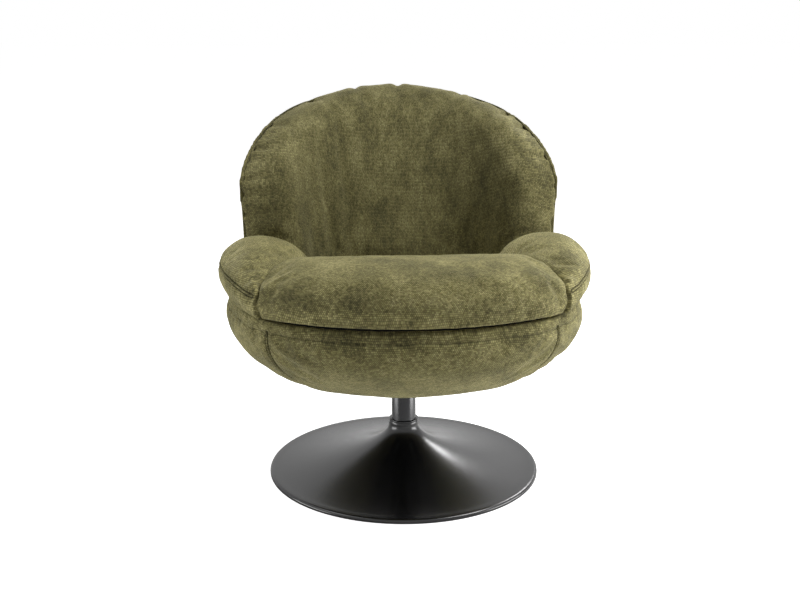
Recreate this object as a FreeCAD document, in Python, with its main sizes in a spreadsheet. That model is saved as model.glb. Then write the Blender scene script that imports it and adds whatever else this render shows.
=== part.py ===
import FreeCAD, Part
import math
import os
import re
import Sketcher

# Pedestal swivel armchair in millimetres.
# Z is up from the floor, the swivel axis is X = Y = 0, and the seat faces -Y.

Vector = FreeCAD.Vector
Rotation = FreeCAD.Rotation
Placement = FreeCAD.Placement

doc = FreeCAD.newDocument("pedestal_armchair")
sheet = doc.addObject("Spreadsheet::Sheet", "sizes")
nodes = {}

# Sizes that can each be set by themselves
DRIVING = {
    "soft_gap": 0.3,            # left between soft or curved pieces that lie against each other
    "through": 1,               # how far a cutter runs past the face it cuts
    "base_radius": 280,         # outside of the spun base cover
    "rim_inset": 14,            # from the outside of the cover to the edge of the weight
    "rim_round": 6,             # outer radius of the cover's turned-down rim
    "rim_lift": 1,              # rim to floor
    "cover_wall": 2,
    "floor_pad_height": 2,
    "floor_pad_inset": 4,       # from the edge of the weight to the edge of the felt
    "weight_edge": 5,           # steel plate at its rim
    "ballast_radius": 140,
    "ballast_height": 13,       # extra thickness in the middle of the plate
    "neck_height": 107,         # top of the cover's neck, above the floor
    "neck_gap": 3.5,            # column to the inside of the neck
    "neck_straight": 7,
    "flare_drop": 45,           # how steeply the neck runs down into the flare
    "flare_reach": 99,          # how far the flat part of the flare runs in from its edge
    "flare_rise": 6,
    "flare_margin": 2,          # from the edge of the weight to the end of the flare
    "ring_cap": 2.5,            # trim ring's flange on top of the neck
    "ring_depth": 8,            # trim ring's sleeve inside the neck
    "column_radius": 25,
    "column_wall": 2.5,
    "column_length": 144,
    "hub_wall": 7,
    "hub_height": 44,
    "flange_radius": 58,
    "flange_height": 8,
    "hub_screw_radius": 4,
    "hub_screw_head_radius": 8,
    "hub_screw_head_height": 4,
    "hub_screw_recess": 1,      # tip below the top of the flange
    "plug_height": 6,           # disc that closes the foot of the column
    "washer_height": 3,
    "washer_bore": 12,
    "ball_radius": 3,
    "ball_play": 0.02,          # what a ball's radius is short of filling its race
    "ball_circle": 17.5,
    "ball_count": 10,
    "cage_height": 3,
    "cage_side": 4,             # cage material each side of the ball circle
    "pocket_play": 0.25,
    "bearing_play": 0.3,        # bearing washer and cage to the tube around them
    "spigot_radius": 11.5,
    "spigot_length": 9,
    "spindle_radius": 14,
    "spindle_play": 0.05,       # running fit in the bush
    "foot_radius": 21,
    "foot_height": 6,
    "bush_length": 58,
    "bush_cap": 2,
    "bush_play": 4,             # top of the bush to the seat's taper socket
    "taper_length": 32,
    "taper_narrow": 0.8,        # how much slimmer the spindle is at its top end
    "taper_space": 1.5,         # spindle's end to the seat plate
    "socket_wall": 8,
    "plate_side": 180,
    "plate_thickness": 4,
    "plate_corner": 18,
    "bolt_spacing": 96,         # square pattern that joins seat plate and shell
    "bolt_radius": 4,
    "bolt_play": 0.25,
    "bolt_head_radius": 7,
    "bolt_head_height": 5,
    "bolt_washer_radius": 9,
    "bolt_washer_height": 1.6,
    "nut_flange_radius": 11,
    "nut_flange_height": 2,
    "nut_barrel_radius": 5.2,
    "nut_barrel_height": 10,
    "block_radius": 80,         # plywood disc between seat plate and shell
    "bowl_half_width": 357,     # lower upholstered bowl at its widest level
    "bowl_half_depth": 360,
    "bowl_side_radius": 486,
    "bowl_end_radius": 482,
    "bowl_corner_radius": 221,
    "bowl_flat": 98,            # radius of the bowl's flat bottom
    "bowl_depth": 157.2,        # from the flat bottom to the widest level
    "bowl_belly": 2.014,        # powers of the bowl's rounded flank
    "bowl_flank": 1.633,
    "rim_height": 32,           # from the widest level to the seam under the upper unit
    "rim_draw": 11,             # how far the bowl rounds in there
    "bowl_pad_thickness": 24,   # foam and cover on the bowl
    "shell_wall": 12,
    "deck_thickness": 22,
    "deck_opening_width": 330,
    "deck_opening_front": 262,
    "deck_opening_rear": 122,
    "deck_opening_corner": 30,
    "plug_play": 1,             # seat foam to the edge of the deck's opening
    "straps_along": 3,
    "straps_across": 4,
    "strap_width": 55,
    "strap_thickness": 1.5,
    "strap_overlap": 28,        # stapled length on the deck
    "screw_radius": 2,
    "screw_head_radius": 4,
    "screw_head_height": 3,
    "deck_screw_length": 46,
    "deck_screw_count": 8,
    "foot_screw_length": 18,
    "core_screw_length": 60,
    "back_screw_bite": 8,
    "seat_side_set": 76,        # seams at the seat's front corners, inside the bowl's half width
    "seat_overhang": 8,         # seat front beyond the bowl
    "seat_draw": 18,            # how far the front tucks in at the seam level
    "seat_belly": 40,           # widest level of the front, above the seam level
    "seat_crown": 101,
    "seat_crown_set": 110,      # from the front to the crown line
    "seat_front_round": 42,
    "seat_round_limit": 0.8,    # share of the height between belly and crown
    "seat_crown_round": 350,
    "seat_slope": 12.3,         # degrees down towards the back
    "seat_end": 190,            # before the back cuts it
    "arm_overhang": 14,
    "arm_start": 47,            # plan angles from the front, about the swivel axis
    "arm_finish": 112,
    "arm_tip_width": 20,
    "arm_width": 190,
    "arm_tip_height": 52,
    "arm_height": 105,
    "arm_draw": 18,
    "arm_draw_limit": 0.7,      # share of the width, where the arm is slim
    "arm_belly": 0.52,          # level of the widest line, as a share of the height
    "arm_ridge": 0.45,          # place of the top line, as a share of the width
    "arm_inner": 0.36,          # level of the inner edge, as a share of the height
    "arm_roundness": 0.62,
    "core_angle": 84,
    "core_inset": 100,
    "core_length": 190,
    "core_thickness": 18,
    "core_height": 58,
    "core_screw_spacing": 120,
    "back_foot_set": 15,        # back's outer radius at the seam level, short of the bowl's half width
    "back_rear_set": 10,        # rear of the back at the seam level, short of the bowl's half depth
    "back_lean": 3.2,           # degrees
    "back_height": 374,         # above the seam level
    "back_side_set": 21,        # back's half width, short of the bowl's
    "back_corner": 180,         # radius of the upper corners seen from the front
    "back_crest": 207,          # height of the rounded upper part, from where the corners begin to the top
    "back_depth_low": 206,      # thickness at the middle of the back
    "back_depth_top": 82,
    "wing_depth_low": 118,
    "wing_depth_top": 84,
    "back_front_round": 44,
    "back_rear_round": 10,
    "back_front_limit": 0.62,   # largest rounding, as a share of the thickness at the top
    "back_rear_limit": 0.25,
    "back_bulge": 6,
    "rear_cover_depth": 9,
    "rear_cover_inset": 2,      # edge of the cover inside the pad's edge
    "rear_cover_round": 3,
    "back_shell_depth": 9,
    "back_shell_inset": 14,     # shell's edge inside the upholstered outline
    "back_shell_round": 1.5,
    "bracket_angle": 24,
    "bracket_width": 40,
    "bracket_steel": 5,
    "bracket_foot": 70,
    "bracket_rise": 150,
    "bracket_flat": 0.8,        # flat steel against the curved shell
    "pocket_room": 7,           # foam cut away round the bracket and its screws
}

# Levels and radii that follow from them
DERIVED = {
    "weight_radius": "base_radius - rim_inset",
    "floor_pad_radius": "weight_radius - floor_pad_inset",
    "weight_top": "floor_pad_height + weight_edge",
    "column_foot": "weight_top + ballast_height",
    "column_top": "column_foot + column_length",
    "tube_bore": "column_radius - column_wall",
    "neck_bore": "column_radius + neck_gap",
    "neck_radius": "neck_bore + cover_wall",
    "race_low": "column_foot + plug_height + washer_height",
    "race_high": "race_low + 2 * ball_radius",
    "foot_level": "race_high + washer_height",
    "socket_level": "column_top + bush_cap + bush_play",
    "spindle_top": "socket_level + taper_length",
    "plate_level": "spindle_top + taper_space",
    "block_level": "plate_level + plate_thickness",
    "bowl_bottom": "block_level + soft_gap",
    "shell_inset": "bowl_pad_thickness + soft_gap",
    "shell_bottom": "bowl_bottom + shell_inset",
    "block_height": "shell_bottom - block_level",
    "shell_floor": "shell_bottom + shell_wall",
    "bowl_widest": "bowl_bottom + bowl_depth",
    "seam_level": "bowl_widest + rim_height",
    "deck_level": "seam_level - deck_thickness",
    "seat_half_width": "bowl_half_width - seat_side_set",
    "back_foot": "bowl_half_width - back_foot_set",
    "back_centre": "bowl_half_depth - back_rear_set - back_foot",
    "back_half_width": "bowl_half_width - back_side_set",
    "back_top": "seam_level + back_height",
    "back_widest": "back_top - back_crest",
    "rim_level": "seam_level - soft_gap",
}


def write_cells(start, entries, form):
    for row, (name, content) in enumerate(entries.items(), start=start):
        sheet.set(f"A{row}", name)
        sheet.set(f"B{row}", form.format(content))
        sheet.setAlias(f"B{row}", name)
    return start + len(entries)


write_cells(write_cells(1, DRIVING, "{}"), DERIVED, "={}")
doc.recompute()


def size(name):
    return float(sheet.get(name))


def cells(formula):
    """The same formula with every size read from the spreadsheet."""
    return re.sub(r"[a-z]\w*", lambda word: "sizes." + word.group(), formula)


def keep(label, thing):
    """Makes an object of the document one of the kept pieces."""
    thing.Label = label
    nodes[label] = thing
    return thing


# Sketched bodies

def origin_feature(body, role):
    return next(feature for feature in body.Origin.OriginFeatures if feature.Role == role)


def place_point(sketch, edge, where, horizontal, vertical):
    """Ties one point of a sketch to two formulas."""
    for kind, axis, formula in (("DistanceX", -2, horizontal), ("DistanceY", -1, vertical)):
        if formula == "0":
            sketch.addConstraint(Sketcher.Constraint("PointOnObject", edge, where, axis))
            continue
        index = sketch.addConstraint(Sketcher.Constraint(kind, -1, 1, edge, where, 1.0 + edge))
        sketch.setExpression(f"Constraints[{index}]", cells(formula))


def sketch_outline(body, name, plane, corners, holes=()):
    """A closed outline of straight edges, with round holes given as (x, y, radius)."""
    sketch = body.newObject("Sketcher::SketchObject", name)
    sketch.AttachmentSupport = [(origin_feature(body, plane), "")]
    sketch.MapMode = "FlatFace"
    count = len(corners)
    turn = 2 * math.pi / count
    first = [Vector(50 + 20 * math.cos(k * turn), 50 + 20 * math.sin(k * turn), 0) for k in range(count)]
    for k in range(count):
        sketch.addGeometry(Part.LineSegment(first[k], first[(k + 1) % count]))
    for k in range(count):
        sketch.addConstraint(Sketcher.Constraint("Coincident", k, 2, (k + 1) % count, 1))
    for k, (horizontal, vertical) in enumerate(corners):
        place_point(sketch, k, 1, horizontal, vertical)
    for k, (across, along, radius) in enumerate(holes):
        circle = sketch.addGeometry(Part.Circle(Vector(30 + k, 30, 0), Vector(0, 0, 1), 2))
        place_point(sketch, circle, 3, across, along)
        index = sketch.addConstraint(Sketcher.Constraint("Radius", circle, 2.0))
        sketch.setExpression(f"Constraints[{index}]", cells(radius))
    return sketch


def revolved(name, corners):
    """A body of revolution about the swivel axis from (radius, level) corners."""
    body = doc.addObject("PartDesign::Body", name)
    profile = sketch_outline(body, name + "_profile", "XZ_Plane", corners)
    turning = body.newObject("PartDesign::Revolution", name + "_turning")
    turning.Profile = profile
    turning.ReferenceAxis = (origin_feature(body, "Z_Axis"), [""])
    turning.Angle = 360
    return body


def turned(label, corners):
    return keep(label, revolved(label, corners))


def padded_plate(label, corners, holes, level, thickness):
    """A flat plate from an outline in plan."""
    body = doc.addObject("PartDesign::Body", label)
    profile = sketch_outline(body, label + "_profile", "XY_Plane", corners, holes)
    profile.setExpression("AttachmentOffset.Base.z", cells(level))
    pad = body.newObject("PartDesign::Pad", label + "_pad")
    pad.Profile = profile
    pad.setExpression("Length", cells(thickness))
    return keep(label, body)


def cylinder(name, radius, height, level="0"):
    """A round bar on its own Z axis, bound to the spreadsheet."""
    bar = doc.addObject("Part::Cylinder", name)
    bar.setExpression("Radius", cells(radius))
    bar.setExpression("Height", cells(height))
    if level != "0":
        bar.setExpression("Placement.Base.z", cells(level))
    return bar


def cylinder_at(name, place, radius, height, level="0"):
    """The same round bar beside the axis, at a plan position."""
    bar = cylinder(name, radius, height)
    bar.Placement.Base = Vector(place.x, place.y, 0)
    bar.setExpression("Placement.Base.z", cells(level))
    return bar


def cut_part(name, base, tool):
    cut = doc.addObject("Part::Cut", name)
    cut.Base = base
    cut.Tool = tool
    return cut


def fuse_part(name, base, tool):
    fuse = doc.addObject("Part::Fuse", name)
    fuse.Base = base
    fuse.Tool = tool
    return fuse


def cut_with(label, base, tools):
    """A kept piece cut by several tools."""
    together = doc.addObject("Part::Compound", label + "_tools")
    together.Links = tools
    return keep(label, cut_part(label, base, together))


def group(label, members):
    """Separate equal solids kept as one node."""
    compound = doc.addObject("Part::Compound", label)
    compound.Links = members
    return keep(label, compound)


def computed(label, shape):
    """A piece whose shape comes from Part's own functions."""
    feature = doc.addObject("Part::Feature", label)
    feature.Shape = shape
    feature.Placement = Placement()
    return keep(label, feature)


# Pedestal

def make_floor_pad():
    turned("floor_pad", [
        ("0", "0"), ("floor_pad_radius", "0"),
        ("floor_pad_radius", "floor_pad_height"), ("0", "floor_pad_height"),
    ])


HUB_SCREW_TURNS = (45, 135, 225, 315)


def hub_screw_places():
    """Plan positions of the four screws that hold the hub to the weight."""
    reach = (size("column_radius") + size("hub_wall") + size("flange_radius")) / 2
    angles = [math.radians(turn) for turn in HUB_SCREW_TURNS]
    return [Vector(reach * math.cos(angle), reach * math.sin(angle), 0) for angle in angles]


def screw_shape(head_radius, head_height, shank_radius, length):
    """A countersunk screw with its head's flat on Z = 0, pointing up."""
    head = Part.makeCone(head_radius, shank_radius, head_height)
    shank = Part.makeCylinder(shank_radius, length)
    return head.fuse(shank).removeSplitter()


def placed(shape, spots):
    """Copies of a shape at several placements."""
    copies = []
    for spot in spots:
        copy = shape.copy()
        copy.Placement = spot if isinstance(spot, Placement) else Placement(spot, Rotation())
        copies.append(copy)
    return copies


def make_weight():
    plate = cylinder("weight_plate", "weight_radius", "weight_edge", "floor_pad_height")
    ballast = cylinder("weight_ballast", "ballast_radius", "ballast_height", "weight_top")
    body = fuse_part("weight_body", plate, ballast)
    low = size("floor_pad_height")
    length = size("column_foot") + size("flange_height") - size("hub_screw_recess") - low
    screw = screw_shape(size("hub_screw_head_radius"), size("hub_screw_head_height"),
                        size("hub_screw_radius"), length)
    screws = placed(screw, [place + Vector(0, 0, low) for place in hub_screw_places()])
    tools = doc.addObject("Part::Feature", "weight_screw_holes")
    tools.Shape = Part.makeCompound(screws)
    keep("base_weight", cut_part("base_weight", body, tools))
    computed("hub_screws", Part.makeCompound(screws))
    return screws


def cover_profile():
    """Half section of the spun cover: neck, trumpet flare and turned-down rim."""
    wall = size("cover_wall")
    rim_top = size("weight_top") + wall
    edge = size("weight_radius") - size("flare_margin")
    turn = size("base_radius") - size("rim_round")
    knee = size("neck_height") - size("neck_straight")

    def flare(neck, drop, rim):
        poles = [
            Vector(neck, 0, knee),
            Vector(neck, 0, knee - drop),
            Vector(edge - size("flare_reach"), 0, rim + size("flare_rise")),
            Vector(edge, 0, rim),
        ]
        curve = Part.BezierCurve()
        curve.setPoles(poles)
        return curve.toShape(), poles[0], poles[-1]

    outer, outer_knee, outer_edge = flare(size("neck_radius"), size("flare_drop"), rim_top)
    inner, inner_knee, inner_edge = flare(size("neck_bore"), size("flare_drop") + wall / 2, rim_top - wall)

    def rim(radius):
        centre = Vector(turn, 0, rim_top - size("rim_round"))
        start = centre + Vector(0, 0, radius)
        middle = centre + Vector(radius * math.sqrt(0.5), 0, radius * math.sqrt(0.5))
        end = centre + Vector(radius, 0, 0)
        return Part.Arc(start, middle, end).toShape(), start, end

    outer_rim, outer_start, outer_end = rim(size("rim_round"))
    inner_rim, inner_start, inner_end = rim(size("rim_round") - wall)
    lip = size("rim_lift")
    outer_lip = Vector(outer_end.x, 0, lip)
    inner_lip = Vector(inner_end.x, 0, lip)
    outer_top = Vector(size("neck_radius"), 0, size("neck_height"))
    inner_top = Vector(size("neck_bore"), 0, size("neck_height"))
    edges = [
        Part.makeLine(outer_top, outer_knee), outer, Part.makeLine(outer_edge, outer_start), outer_rim,
        Part.makeLine(outer_end, outer_lip), Part.makeLine(outer_lip, inner_lip),
        Part.makeLine(inner_lip, inner_end), inner_rim, Part.makeLine(inner_start, inner_edge), inner,
        Part.makeLine(inner_knee, inner_top), Part.makeLine(inner_top, outer_top),
    ]
    return Part.Wire(Part.__sortEdges__(edges))


def make_pedestal():
    make_floor_pad()
    screws = make_weight()
    shell = Part.Face(cover_profile()).revolve(Vector(), Vector(0, 0, 1), 360)
    computed("base_cover", shell)
    turned("neck_ring", [
        ("column_radius", "neck_height - ring_depth"), ("neck_bore", "neck_height - ring_depth"),
        ("neck_bore", "neck_height"), ("neck_radius", "neck_height"),
        ("neck_radius", "neck_height + ring_cap"), ("column_radius", "neck_height + ring_cap"),
    ])
    hub = revolved("hub_blank", [
        ("column_radius", "column_foot"),
        ("flange_radius", "column_foot"),
        ("flange_radius", "column_foot + flange_height"),
        ("column_radius + hub_wall", "column_foot + flange_height"),
        ("column_radius + hub_wall", "column_foot + hub_height"),
        ("column_radius", "column_foot + hub_height"),
    ])
    hub_holes = doc.addObject("Part::Feature", "hub_screw_holes")
    hub_holes.Shape = Part.makeCompound(screws)
    keep("column_hub", cut_part("column_hub", hub, hub_holes))
    turned("column_tube", [
        ("tube_bore", "column_foot"), ("column_radius", "column_foot"),
        ("column_radius", "column_top"), ("tube_bore", "column_top"),
    ])
    turned("column_plug", [
        ("0", "column_foot"), ("tube_bore", "column_foot"),
        ("tube_bore", "column_foot + plug_height"), ("0", "column_foot + plug_height"),
    ])
    bore = "spindle_radius + spindle_play"
    turned("upper_bush", [
        (bore, "column_top - bush_length"), ("tube_bore", "column_top - bush_length"),
        ("tube_bore", "column_top"), ("column_radius", "column_top"),
        ("column_radius", "column_top + bush_cap"), (bore, "column_top + bush_cap"),
    ])


# Swivel bearing in the foot of the column

def bearing_washer(label, level):
    turned(label, [
        ("washer_bore", level), ("tube_bore - bearing_play", level),
        ("tube_bore - bearing_play", level + " + washer_height"), ("washer_bore", level + " + washer_height"),
    ])


def make_bearing():
    bearing_washer("bearing_washer_lower", "race_low - washer_height")
    bearing_washer("bearing_washer_upper", "race_high")
    low = "race_low + ball_radius - cage_height / 2"
    inside = "ball_circle - cage_side"
    outside = "ball_circle + cage_side"
    cage = turned("bearing_cage", [
        (inside, low), (outside, low), (outside, low + " + cage_height"), (inside, low + " + cage_height"),
    ])
    pocket = cage.newObject("Sketcher::SketchObject", "cage_pocket_profile")
    pocket.AttachmentSupport = [(origin_feature(cage, "XY_Plane"), "")]
    pocket.MapMode = "FlatFace"
    pocket.setExpression("AttachmentOffset.Base.z", cells("race_low"))
    circle = pocket.addGeometry(Part.Circle(Vector(17, 0, 0), Vector(0, 0, 1), 3))
    place_point(pocket, circle, 3, "ball_circle", "0")
    index = pocket.addConstraint(Sketcher.Constraint("Radius", circle, 3.0))
    pocket.setExpression(f"Constraints[{index}]", cells("ball_radius + pocket_play"))
    cut = cage.newObject("PartDesign::Pocket", "cage_pocket")
    cut.Profile = pocket
    cut.Reversed = True
    cut.setExpression("Length", cells("2 * ball_radius"))
    doc.recompute()
    ring = cage.newObject("PartDesign::PolarPattern", "cage_pockets")
    ring.Originals = [cut]
    ring.Axis = (origin_feature(cage, "Z_Axis"), [""])
    ring.Angle = 360
    ring.setExpression("Occurrences", cells("ball_count"))
    cage.Tip = ring
    balls = []
    for k in range(round(size("ball_count"))):
        ball = doc.addObject("Part::Sphere", f"ball_{k + 1}")
        ball.setExpression("Radius", cells("ball_radius - ball_play"))
        angle = 2 * math.pi * k / size("ball_count")
        level = size("race_low") + size("ball_radius")
        reach = size("ball_circle")
        ball.Placement.Base = Vector(reach * math.cos(angle), reach * math.sin(angle), level)
        balls.append(ball)
    group("bearing_balls", balls)


def make_spindle():
    tip = "spindle_radius - taper_narrow"
    turned("spindle", [
        ("0", "foot_level - spigot_length"), ("spigot_radius", "foot_level - spigot_length"),
        ("spigot_radius", "foot_level"), ("foot_radius", "foot_level"),
        ("foot_radius", "foot_level + foot_height"), ("spindle_radius", "foot_level + foot_height"),
        ("spindle_radius", "socket_level"), (tip, "spindle_top"), ("0", "spindle_top"),
    ])
    turned("taper_socket", [
        ("spindle_radius", "socket_level"), ("spindle_radius + socket_wall", "socket_level"),
        ("spindle_radius + socket_wall", "plate_level"), (tip, "plate_level"), (tip, "spindle_top"),
    ])


# Seat plate, its block and bolts

def bolt_places():
    half = size("bolt_spacing") / 2
    return [Vector(x * half, y * half, 0) for x in (-1, 1) for y in (-1, 1)]


def make_seat_mount():
    half = "plate_side / 2"
    minus = "0 - plate_side / 2"
    hole = "bolt_radius + bolt_play"
    spots = ("0 - bolt_spacing / 2", "bolt_spacing / 2")
    holes = [(x, y, hole) for x in spots for y in spots]
    plate = padded_plate("seat_plate", [(minus, minus), (half, minus), (half, half), (minus, half)],
                         holes, "plate_level", "plate_thickness")
    doc.recompute()
    pad = plate.Tip
    corners = [f"Edge{k}" for k, edge in enumerate(pad.Shape.Edges, start=1) if is_upright_corner(edge)]
    rounding = plate.newObject("PartDesign::Fillet", "seat_plate_corners")
    rounding.Base = (pad, corners)
    rounding.setExpression("Radius", cells("plate_corner"))
    block = cylinder("mount_block_disc", "block_radius", "block_height", "block_level")
    drills = [cylinder_at("block_drill", place, hole, "block_height", "block_level")
              for place in bolt_places()]
    cut_with("mount_block", block, drills)
    washers = []
    bolts = []
    nuts = []
    washer_level = "plate_level - bolt_washer_height"
    for place in bolt_places():
        washer = cylinder_at("bolt_washer", place, "bolt_washer_radius", "bolt_washer_height",
                             washer_level)
        washer_hole = cylinder_at("washer_hole", place, hole, "bolt_washer_height", washer_level)
        washers.append(cut_part("bolt_washer_ring", washer, washer_hole))
        head = cylinder_at("bolt_head", place, "bolt_head_radius", "bolt_head_height",
                           washer_level + " - bolt_head_height")
        shank = cylinder_at("bolt_shank", place, "bolt_radius",
                            "shell_floor - plate_level + bolt_washer_height", washer_level)
        bolts.append(fuse_part("bolt", head, shank))
        flange = cylinder_at("nut_flange", place, "nut_flange_radius", "nut_flange_height", "shell_floor")
        barrel = cylinder_at("nut_barrel", place, "nut_barrel_radius", "nut_barrel_height",
                             "shell_floor - nut_barrel_height")
        thread = cylinder_at("nut_thread", place, "bolt_radius", "nut_barrel_height + nut_flange_height",
                             "shell_floor - nut_barrel_height")
        nuts.append(cut_part("t_nut", fuse_part("nut_blank", flange, barrel), thread))
    group("plate_washers", washers)
    group("plate_bolts", bolts)
    group("t_nuts", nuts)


def is_upright_corner(edge):
    """True for a straight vertical edge of a plate."""
    ends = [vertex.Point for vertex in edge.Vertexes]
    return len(ends) == 2 and (ends[0] - ends[1]).cross(Vector(0, 0, 1)).Length < 0.001


# Ovals of eight tangent arcs

def oval_sizes(inset=0.0, scale=1.0):
    names = ("bowl_half_width", "bowl_half_depth", "bowl_side_radius", "bowl_end_radius", "bowl_corner_radius")
    return [(size(name) - inset) * scale for name in names]


def oval_corner(half_width, half_depth, side, end, corner):
    """Centre of the corner arc and its two tangent points, in the quarter where X and Y are positive."""
    first = Vector(half_width - side, 0, 0)
    second = Vector(0, half_depth - end, 0)
    near = side - corner
    far = end - corner
    between = second - first
    span = between.Length
    along = (near * near - far * far + span * span) / (2 * span)
    across = math.sqrt(near * near - along * along)
    unit = between / span
    options = [first + unit * along + Vector(-unit.y, unit.x, 0) * (across * sign) for sign in (1, -1)]
    centre = max(options, key=lambda point: point.x)
    on_side = first + (centre - first).normalize() * side
    on_end = second + (centre - second).normalize() * end
    return centre, on_side, on_end


def oval_wire(level, inset=0.0, scale=1.0):
    half_width, half_depth, side, end, corner = oval_sizes(inset, scale)
    centre, on_side, on_end = oval_corner(half_width, half_depth, side, end, corner)
    chord = (on_side + on_end) / 2 - centre
    bulge = centre + chord.normalize() * corner
    up = Vector(0, 0, level)

    def at(point, flip_x, flip_y):
        return Vector(point.x * flip_x, point.y * flip_y, 0) + up

    right = Vector(half_width, 0, 0)
    back = Vector(0, half_depth, 0)
    stops = [
        (at(on_side, 1, -1), at(right, 1, 1), at(on_side, 1, 1)),
        (at(on_side, 1, 1), at(bulge, 1, 1), at(on_end, 1, 1)),
        (at(on_end, 1, 1), at(back, 1, 1), at(on_end, -1, 1)),
        (at(on_end, -1, 1), at(bulge, -1, 1), at(on_side, -1, 1)),
        (at(on_side, -1, 1), at(right, -1, 1), at(on_side, -1, -1)),
        (at(on_side, -1, -1), at(bulge, -1, -1), at(on_end, -1, -1)),
        (at(on_end, -1, -1), at(back, 1, -1), at(on_end, 1, -1)),
        (at(on_end, 1, -1), at(bulge, 1, -1), at(on_side, 1, -1)),
    ]
    return Part.Wire([Part.Arc(*three).toShape() for three in stops])


def oval_arc_for(point_test):
    """Centre and radius of one of the quarter's three arcs, told by a test of its two joints."""
    half_width, half_depth, side, end, corner = oval_sizes()
    centre, on_side, on_end = oval_corner(half_width, half_depth, side, end, corner)
    if point_test(on_side):
        return Vector(half_width - side, 0, 0), side
    if point_test(on_end):
        return centre, corner
    return Vector(0, half_depth - end, 0), end


def rim_reach(angle):
    """Distance from the swivel axis to the bowl's widest outline at a plan angle from the front."""
    direction = Vector(abs(math.sin(angle)), abs(math.cos(angle)), 0)
    turn = math.atan2(direction.y, direction.x)
    centre, radius = oval_arc_for(lambda joint: turn < math.atan2(joint.y, joint.x))
    along = direction.dot(centre)
    return along + math.sqrt(along * along - centre.dot(centre) + radius * radius)


def rim_depth(across):
    """Distance of the bowl's widest outline in front of the swivel axis, at a distance to the side."""
    side = abs(across)
    centre, radius = oval_arc_for(lambda joint: side > joint.x)
    return centre.y + math.sqrt(radius * radius - (side - centre.x) ** 2)


# Bowl: foam and cover outside, moulded shell inside, deck frame on top

BOWL_TURNS = (0, 14, 28, 42, 56, 70, 82, 90)
RIM_STEPS = (0.0, 0.45, 0.75, 0.92, 1.0)


def bowl_body(inset):
    """The bowl below its widest level, drawn in by an inset."""
    low = size("bowl_bottom") + inset
    high = size("bowl_widest")
    flat = size("bowl_flat") / (size("bowl_half_width") - inset)
    wires = []
    for turn in BOWL_TURNS:
        angle = math.radians(turn)
        spread = math.sin(angle) ** (2 / size("bowl_flank"))
        climb = 1 - math.cos(angle) ** (2 / size("bowl_belly"))
        wires.append(oval_wire(low + (high - low) * climb, inset, flat + (1 - flat) * spread))
    return Part.makeLoft(wires, True, False)


def oval_prism(low, high, inset):
    return Part.Face(oval_wire(low, inset)).extrude(Vector(0, 0, high - low))


def bowl_rim():
    """The rounded band between the widest level and the seam under the upper unit."""
    low = size("bowl_widest")
    high = size("rim_level")
    wires = []
    for step in RIM_STEPS:
        draw = size("rim_draw") * (1 - math.sqrt(1 - step * step))
        wires.append(oval_wire(low + (high - low) * step, draw))
    return Part.makeLoft(wires, True, False)


def bowl_hollow(inset, top):
    return bowl_body(inset).fuse(oval_prism(size("bowl_widest"), top, inset))


def make_bowl():
    outside = bowl_body(0).fuse(bowl_rim())
    past = size("through")
    hole = Part.makeCylinder(size("block_radius") + size("soft_gap"), size("bowl_pad_thickness") + 2 * past,
                             Vector(0, 0, size("bowl_bottom") - past))
    pad = outside.cut(bowl_hollow(size("bowl_pad_thickness"), size("seam_level") + past)).cut(hole)
    computed("bowl_pad", pad)
    shell_inset = size("shell_inset")
    moulded = bowl_hollow(shell_inset, size("deck_level"))
    hollow = bowl_hollow(shell_inset + size("shell_wall"), size("seam_level"))
    drills = [Part.makeCylinder(size("nut_barrel_radius"), size("shell_wall") + 2 * past,
                                place + Vector(0, 0, size("shell_bottom") - past))
              for place in bolt_places()]
    screws = deck_screws()
    computed("bowl_shell", moulded.cut(hollow).cut(Part.makeCompound(drills)).cut(Part.makeCompound(screws)))
    computed("deck_screws", Part.makeCompound(screws))


def deck_screws():
    """Screws that point down through the deck frame into the edge of the shell."""
    wall_middle = size("shell_inset") + size("shell_wall") / 2
    screw = screw_shape(size("screw_head_radius"), size("screw_head_height"), size("screw_radius"),
                        size("deck_screw_length"))
    count = round(size("deck_screw_count"))
    spots = []
    for k in range(count):
        angle = 2 * math.pi * (k + 0.5) / count
        reach = rim_reach(angle) - wall_middle
        place = Vector(reach * math.sin(angle), -reach * math.cos(angle), size("seam_level"))
        spots.append(Placement(place, Rotation(Vector(1, 0, 0), 180)))
    return placed(screw, spots)


def opening_prism(play, low, high):
    """The deck's opening with rounded corners, drawn in by a play."""
    half = size("deck_opening_width") / 2 - play
    front = -size("deck_opening_front") + play
    depth = size("deck_opening_rear") - play - front
    block = Part.makeBox(2 * half, depth, high - low, Vector(-half, front, low))
    upright = [edge for edge in block.Edges if is_upright_corner(edge)]
    return block.makeFillet(size("deck_opening_corner") - play, upright)


def make_deck(screws):
    low = size("deck_level")
    high = size("seam_level")
    board = oval_prism(low, high, size("shell_inset"))
    board = board.cut(opening_prism(0, low - size("through"), high + size("through")))
    computed("deck_frame", board.cut(Part.makeCompound(screws)))


def strap(name, length, width, left, front, level):
    box = doc.addObject("Part::Box", name)
    box.setExpression("Length", cells(length))
    box.setExpression("Width", cells(width))
    box.setExpression("Height", cells("strap_thickness"))
    box.setExpression("Placement.Base.x", cells(left))
    box.setExpression("Placement.Base.y", cells(front))
    box.setExpression("Placement.Base.z", cells(level))
    return box


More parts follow.
